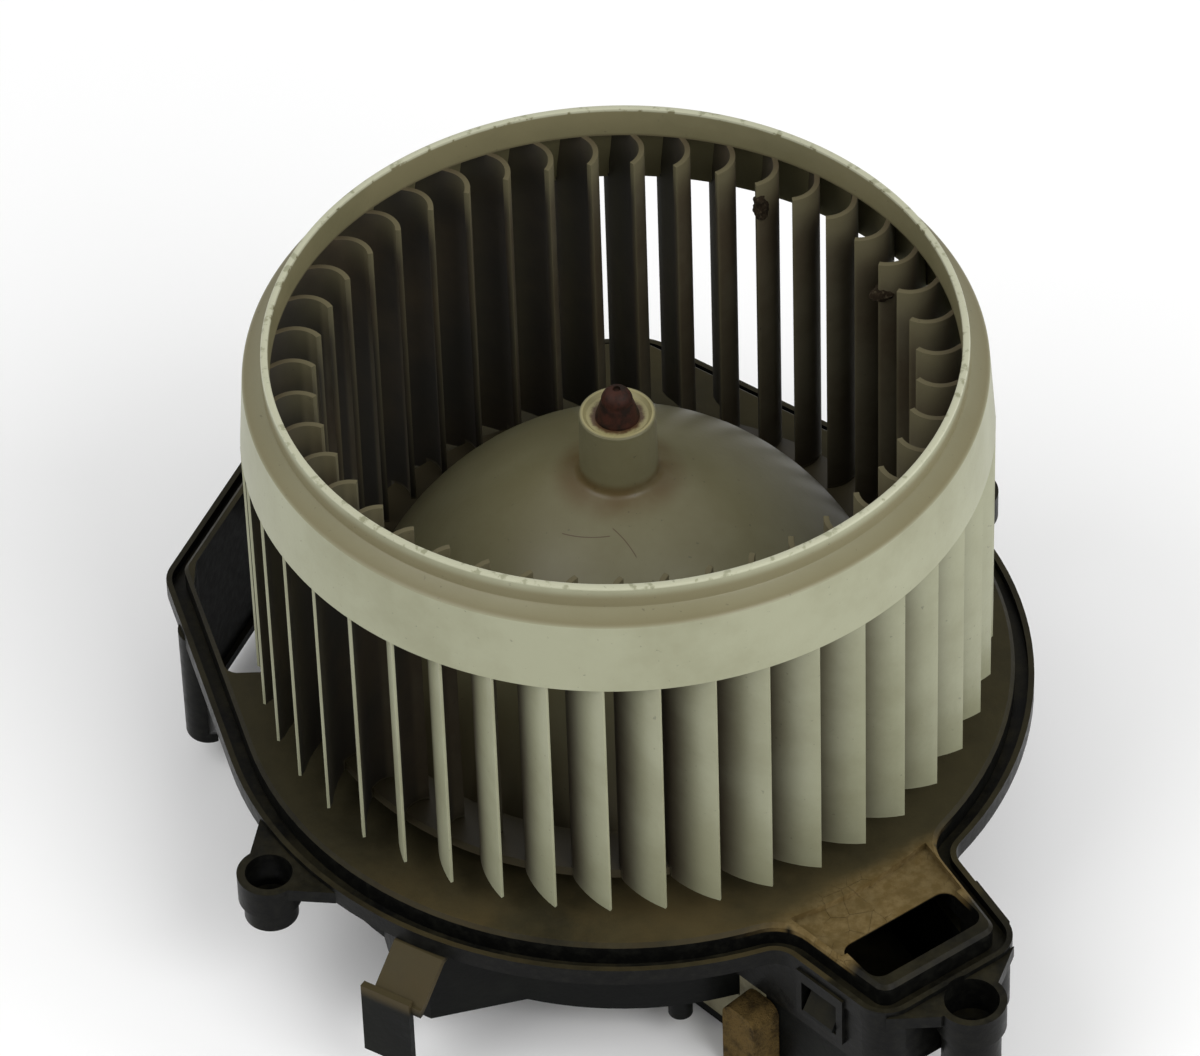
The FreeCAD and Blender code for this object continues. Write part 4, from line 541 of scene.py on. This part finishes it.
clump_material, tree, shader = shade("dried_dirt", 0.95, specular=0.1)
place, _ = coordinates(tree)
crumbs = grain(tree, place, crumb_scale, 5.0, 0.7)
tree.links.new(tint(tree, ramp(tree, crumbs, 0.5, 0.75), clump_brown, clump_grey),
               shader.inputs["Base Color"])
bumped(tree, shader, crumbs, 0.0005)
crumb_texture = bpy.data.textures.new("crumbs", "CLOUDS")
crumb_texture.noise_scale = lump_scale
for clump_name, clump_turn, clump_r, clump_height, clump_size in clump_plan:
    bpy.ops.object.select_all(action="DESELECT")
    bpy.ops.mesh.primitive_ico_sphere_add(subdivisions=4, radius=1.0)
    clump = bpy.context.object
    clump.name = clump_name
    clump.scale = clump_size
    bpy.ops.object.transform_apply(location=True, rotation=True, scale=True)
    clump.data.transform(Matrix.Rotation(clump_turn, 4, "Z")
                         @ Matrix.Translation((clump_r, 0.0, clump_height)))
    lumps = clump.modifiers.new("lumps", "DISPLACE")
    lumps.texture = crumb_texture
    lumps.texture_coords = "LOCAL"
    lumps.strength = clump_lumps
    bpy.ops.object.modifier_apply(modifier=lumps.name)
    bpy.ops.object.shade_smooth()
    clump.data.materials.append(clump_material)
    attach(clump, "rotor")


# Cap: a dull reddish-brown moulded plastic plug, pressed over the end of the shaft in the hub's
# mouth.
cap_red = linear(54, 30, 22)
cap_dark = linear(28, 20, 15)
cap_patch_scale = 420.0
cap_material, tree, shader = shade("cap_plastic", 0.55, specular=0.12)
place, _ = coordinates(tree)
patches = grain(tree, place, cap_patch_scale, 5.0, 0.6)
tree.links.new(tint(tree, ramp(tree, patches, 0.35, 0.65), cap_red, cap_dark),
               shader.inputs["Base Color"])
bumped(tree, shader, patches, 0.0001)
nodes["shaft_cap"].data.materials.clear()
nodes["shaft_cap"].data.materials.append(cap_material)


# Base plate: one moulding of black plastic, held in the heater case by three screws. A film of
# olive dust lies on its floor, and thick, slightly cracked tan dust on the ledge by the inlet.
plate_black = linear(11, 11, 10)
plate_worn = linear(26, 26, 22)
dust_olive = linear(62, 57, 38)
dust_tan = linear(92, 76, 44)
dust_pale = linear(110, 94, 62)
floor_top = 0.0030
floor_edge_r = 0.0808
ledge_level = 0.0013
ledge_half = 0.0175
ledge_narrowing = 0.135
ledge_from = 0.0800
ledge_mouth = 0.0930
inlet_angle = radians(-55.2)
drift_scale = 30.0
drift_depth = 0.012
plate_grain_scale = 520.0
crack_scale = 240.0
film_scale = 90.0
plate_relief = 0.00015

plate_material, tree, shader = shade("plate_plastic", 0.38, specular=0.07)
place, facing = coordinates(tree)
at = add(tree, "ShaderNodeSeparateXYZ", None, Vector=place).outputs
to = add(tree, "ShaderNodeSeparateXYZ", None, Vector=facing).outputs
radius = span(tree, at["X"], at["Y"])
along = sums(tree, "ADD", product(tree, at["X"], cos(inlet_angle)),
             product(tree, at["Y"], sin(inlet_angle)))
across = sums(tree, "ABSOLUTE", sums(tree, "SUBTRACT", product(tree, at["Y"], cos(inlet_angle)),
                                     product(tree, at["X"], sin(inlet_angle))))
clouds = grain(tree, place, drift_scale, 6.0, 0.62)
fine = grain(tree, place, plate_grain_scale, 4.0, 0.6)
colour = tint(tree, ramp(tree, fine, 0.4, 0.75, 0.0, 0.6), plate_black, plate_worn)
# Olive film on the floor, thinner at the left, with tan drift at the front.
on_floor = product(tree, ramp(tree, to["Z"], 0.5, 0.95), ramp(tree, at["Z"], -0.001, 0.001),
                   ramp(tree, along, 0.0945, 0.0925))
film = product(tree, on_floor, ramp(tree, clouds, 0.25, 0.7, 0.4, 0.95),
               ramp(tree, at["X"], -0.075, 0.0, 0.6, 1.0))
colour = tint(tree, film, colour, dust_olive)
front_drift = product(tree, on_floor, ramp(tree, at["Y"], -0.045, -0.075),
                      ramp(tree, clouds, 0.3, 0.6), 0.35)
colour = tint(tree, front_drift, colour, dust_tan)
# Tan dust on the ledge, kept inside the ridge, and its cracks.
drift_edge = sums(tree, "ADD", along, product(tree, clouds, drift_depth))
settled = sums(tree, "MAXIMUM", on_floor, ramp(tree, at["Z"], 0.0010, ledge_level))
past_side = sums(tree, "SUBTRACT", sums(tree, "ADD", across, product(
    tree, sums(tree, "SUBTRACT", along, ledge_from), ledge_narrowing)), ledge_half)
inside = sums(tree, "MAXIMUM", ramp(tree, past_side, 0.0010, 0.0002),
              ramp(tree, radius, 0.0818, floor_edge_r))
ledge = product(tree, ramp(tree, drift_edge, 0.0805, 0.0865), settled,
                ramp(tree, at["Z"], floor_top + 0.0005, floor_top + 0.00025),
                ramp(tree, along, 0.0975, ledge_mouth), inside)
colour = tint(tree, ledge, colour, tint(tree, ramp(tree, fine, 0.35, 0.7), dust_tan, dust_pale))
cracks = add(tree, "ShaderNodeTexVoronoi", {"feature": "DISTANCE_TO_EDGE"},
             Vector=place, Scale=crack_scale).outputs["Distance"]
crack_lines = product(tree, ramp(tree, cracks, 0.022, 0.006), ledge,
                      ramp(tree, clouds, 0.50, 0.58))
colour = tint(tree, product(tree, crack_lines, 0.18), colour, stain_brown)
colour = tint(tree, dusted(tree, place, facing, film_scale, 0.35), colour, dust_olive)
tree.links.new(colour, shader.inputs["Base Color"])
tree.links.new(sums(tree, "ADD", ramp(tree, fine, 0.3, 0.7, 0.30, 0.42),
                    product(tree, sums(tree, "MAXIMUM", film, ledge), 0.4)),
               shader.inputs["Roughness"])
bumped(tree, shader, sums(tree, "SUBTRACT", product(tree, fine, 0.5), crack_lines), plate_relief)
nodes["base_plate"].data.materials.clear()
nodes["base_plate"].data.materials.append(plate_material)


# Lower cover: one moulding of the same black plastic, cleaner and duller, with brown dust on the
# side arm. Four screws hold it under the plate.
arm_angle = radians(-122.5)
arm_slope_from = 0.0815
arm_slope_foot = -0.0135
cover_grain_scale = 480.0
cover_mottle_scale = 60.0
cover_film_scale = 70.0
arm_brown = linear(64, 56, 38)
cover_grey = linear(12, 13, 12)
cover_worn = linear(26, 27, 24)

cover_material, tree, shader = shade("cover_plastic", 0.5, specular=0.07)
place, facing = coordinates(tree)
at = add(tree, "ShaderNodeSeparateXYZ", None, Vector=place).outputs
out = sums(tree, "ADD", product(tree, at["X"], cos(arm_angle)),
           product(tree, at["Y"], sin(arm_angle)))
fine = grain(tree, place, cover_grain_scale, 5.0, 0.6)
clouds = grain(tree, place, cover_mottle_scale, 5.0, 0.6)
colour = tint(tree, ramp(tree, clouds, 0.45, 0.8), cover_grey, cover_worn)
slope = product(tree, ramp(tree, out, arm_slope_from, 0.084),
                ramp(tree, at["Z"], arm_slope_foot, -0.0105),
                ramp(tree, clouds, 0.2, 0.6, 0.6, 1.0))
colour = tint(tree, slope, colour, arm_brown)
colour = tint(tree, dusted(tree, place, facing, cover_film_scale, 0.6), colour, dust_olive)
tree.links.new(colour, shader.inputs["Base Color"])
tree.links.new(ramp(tree, clouds, 0.3, 0.7, 0.38, 0.6), shader.inputs["Roughness"])
bumped(tree, shader, fine, 0.00012)
nodes["lower_cover"].data.materials.clear()
nodes["lower_cover"].data.materials.append(cover_material)


# Foam pad: a block of tan sealing foam, cut and stuck to the air channel, mottled and darker where
# it is soiled.
foam_tan = linear(96, 78, 44)
foam_dark = linear(46, 36, 20)
foam_blot_scale = 190.0
foam_pore_scale = 2400.0

foam_material, tree, shader = shade("foam", 0.95, specular=0.1)
place, _ = coordinates(tree)
blots = grain(tree, place, foam_blot_scale, 6.0, 0.7)
pores = grain(tree, place, foam_pore_scale, 3.0, 0.6)
colour = tint(tree, ramp(tree, blots, 0.4, 0.68), foam_tan, foam_dark)
colour = tint(tree, ramp(tree, pores, 0.55, 0.7, 0.0, 0.6), colour, foam_dark)
tree.links.new(colour, shader.inputs["Base Color"])
bumped(tree, shader, sums(tree, "ADD", pores, blots), 0.0006)
nodes["foam_pad"].data.materials.clear()
nodes["foam_pad"].data.materials.append(foam_material)


# Label: a bare pale paper sticker on the side wall of the channel, yellowed and a little grimy.
# Nothing is printed on it.
label_pale = linear(128, 123, 98)
label_grime = linear(84, 78, 56)
label_blot_scale = 150.0
label_fibre_scale = 1500.0

label_material, tree, shader = shade("label_paper", 0.6, specular=0.3)
place, _ = coordinates(tree)
blots = grain(tree, place, label_blot_scale, 5.0, 0.65)
tree.links.new(tint(tree, ramp(tree, blots, 0.4, 0.75), label_pale, label_grime),
               shader.inputs["Base Color"])
bumped(tree, shader, grain(tree, place, label_fibre_scale), 0.00005)
nodes["blank_label"].data.materials.clear()
nodes["blank_label"].data.materials.append(label_material)


# Motor: steel can and laminations, copper, bronze, magnets, carbon and the rubber rings. They
# sit inside the mouldings, and each has the finish of its own stock. The plan gives each stock's
# light and dark colour, roughness, metallic share, grain scale and relief.
def stock(name, light, dark, roughness, metallic, scale, depth, specular=0.5):
    """Two-tone material for a piece's stock, with a fine grain of its own."""
    material, tree, shader = shade(name, roughness, metallic, specular)
    place, _ = coordinates(tree)
    patches = grain(tree, place, scale, 5.0, 0.6)
    tree.links.new(tint(tree, ramp(tree, patches, 0.35, 0.7), light, dark),
                   shader.inputs["Base Color"])
    tree.links.new(ramp(tree, patches, 0.3, 0.7, roughness - 0.08, roughness + 0.1),
                   shader.inputs["Roughness"])
    bumped(tree, shader, patches, depth)
    return material


stock_plan = (
    (("motor_shaft",), (linear(190, 190, 188), linear(160, 160, 158), 0.28, 1.0, 300, 2e-5)),
    (("motor_can",), (linear(170, 172, 170), linear(140, 142, 138), 0.38, 1.0, 120, 4e-5)),
    (("armature_core",), (linear(140, 138, 134), linear(110, 104, 98), 0.45, 1.0, 700, 8e-5)),
    (("armature_windings",), (linear(176, 98, 52), linear(130, 66, 34), 0.4, 0.7, 900, 3e-4)),
    (("commutator",), (linear(196, 124, 80), linear(150, 92, 58), 0.35, 1.0, 500, 3e-5)),
    (("upper_bearing", "lower_bearing"),
     (linear(176, 142, 86), linear(136, 108, 64), 0.5, 0.9, 900, 8e-5)),
    (("bearing_clips",), (linear(176, 176, 172), linear(142, 142, 138), 0.35, 1.0, 200, 3e-5)),
    (("magnet_left", "magnet_right"),
     (linear(62, 60, 60), linear(44, 42, 42), 0.65, 0.0, 400, 1e-4)),
    (("motor_end_cap", "brush_card"),
     (linear(72, 68, 60), linear(54, 50, 44), 0.5, 0.0, 300, 5e-5)),
    (("brush_left", "brush_right", "choke_back", "choke_front"),
     (linear(58, 56, 56), linear(40, 38, 38), 0.6, 0.1, 900, 1e-4)),
    (("spring_left", "spring_right"),
     (linear(186, 186, 182), linear(150, 150, 146), 0.3, 1.0, 300, 2e-5)),
    (("thrust_washers",), (linear(184, 182, 176), linear(152, 150, 144), 0.4, 1.0, 300, 2e-5)),
    (("upper_damper", "lower_damper"),
     (linear(46, 46, 46), linear(34, 34, 34), 0.85, 0.0, 260, 1.5e-4)),
    (("terminal_blades",), (linear(206, 200, 180), linear(170, 164, 146), 0.3, 1.0, 300, 2e-5)),
)
for pieces, finish in stock_plan:
    stock_material = stock(pieces[0] + "_finish", *finish)
    for piece in pieces:
        nodes[piece].data.materials.clear()
        nodes[piece].data.materials.append(stock_material)


# Cover screws: four screws of zinc-plated steel, driven up through the lower cover, their plating
# dulled by brown dust.
screw_material = stock("screw_zinc", linear(182, 176, 156), linear(120, 108, 84), 0.4, 0.9, 420,
                       6e-5)
nodes["cover_screws"].data.materials.clear()
nodes["cover_screws"].data.materials.append(screw_material)
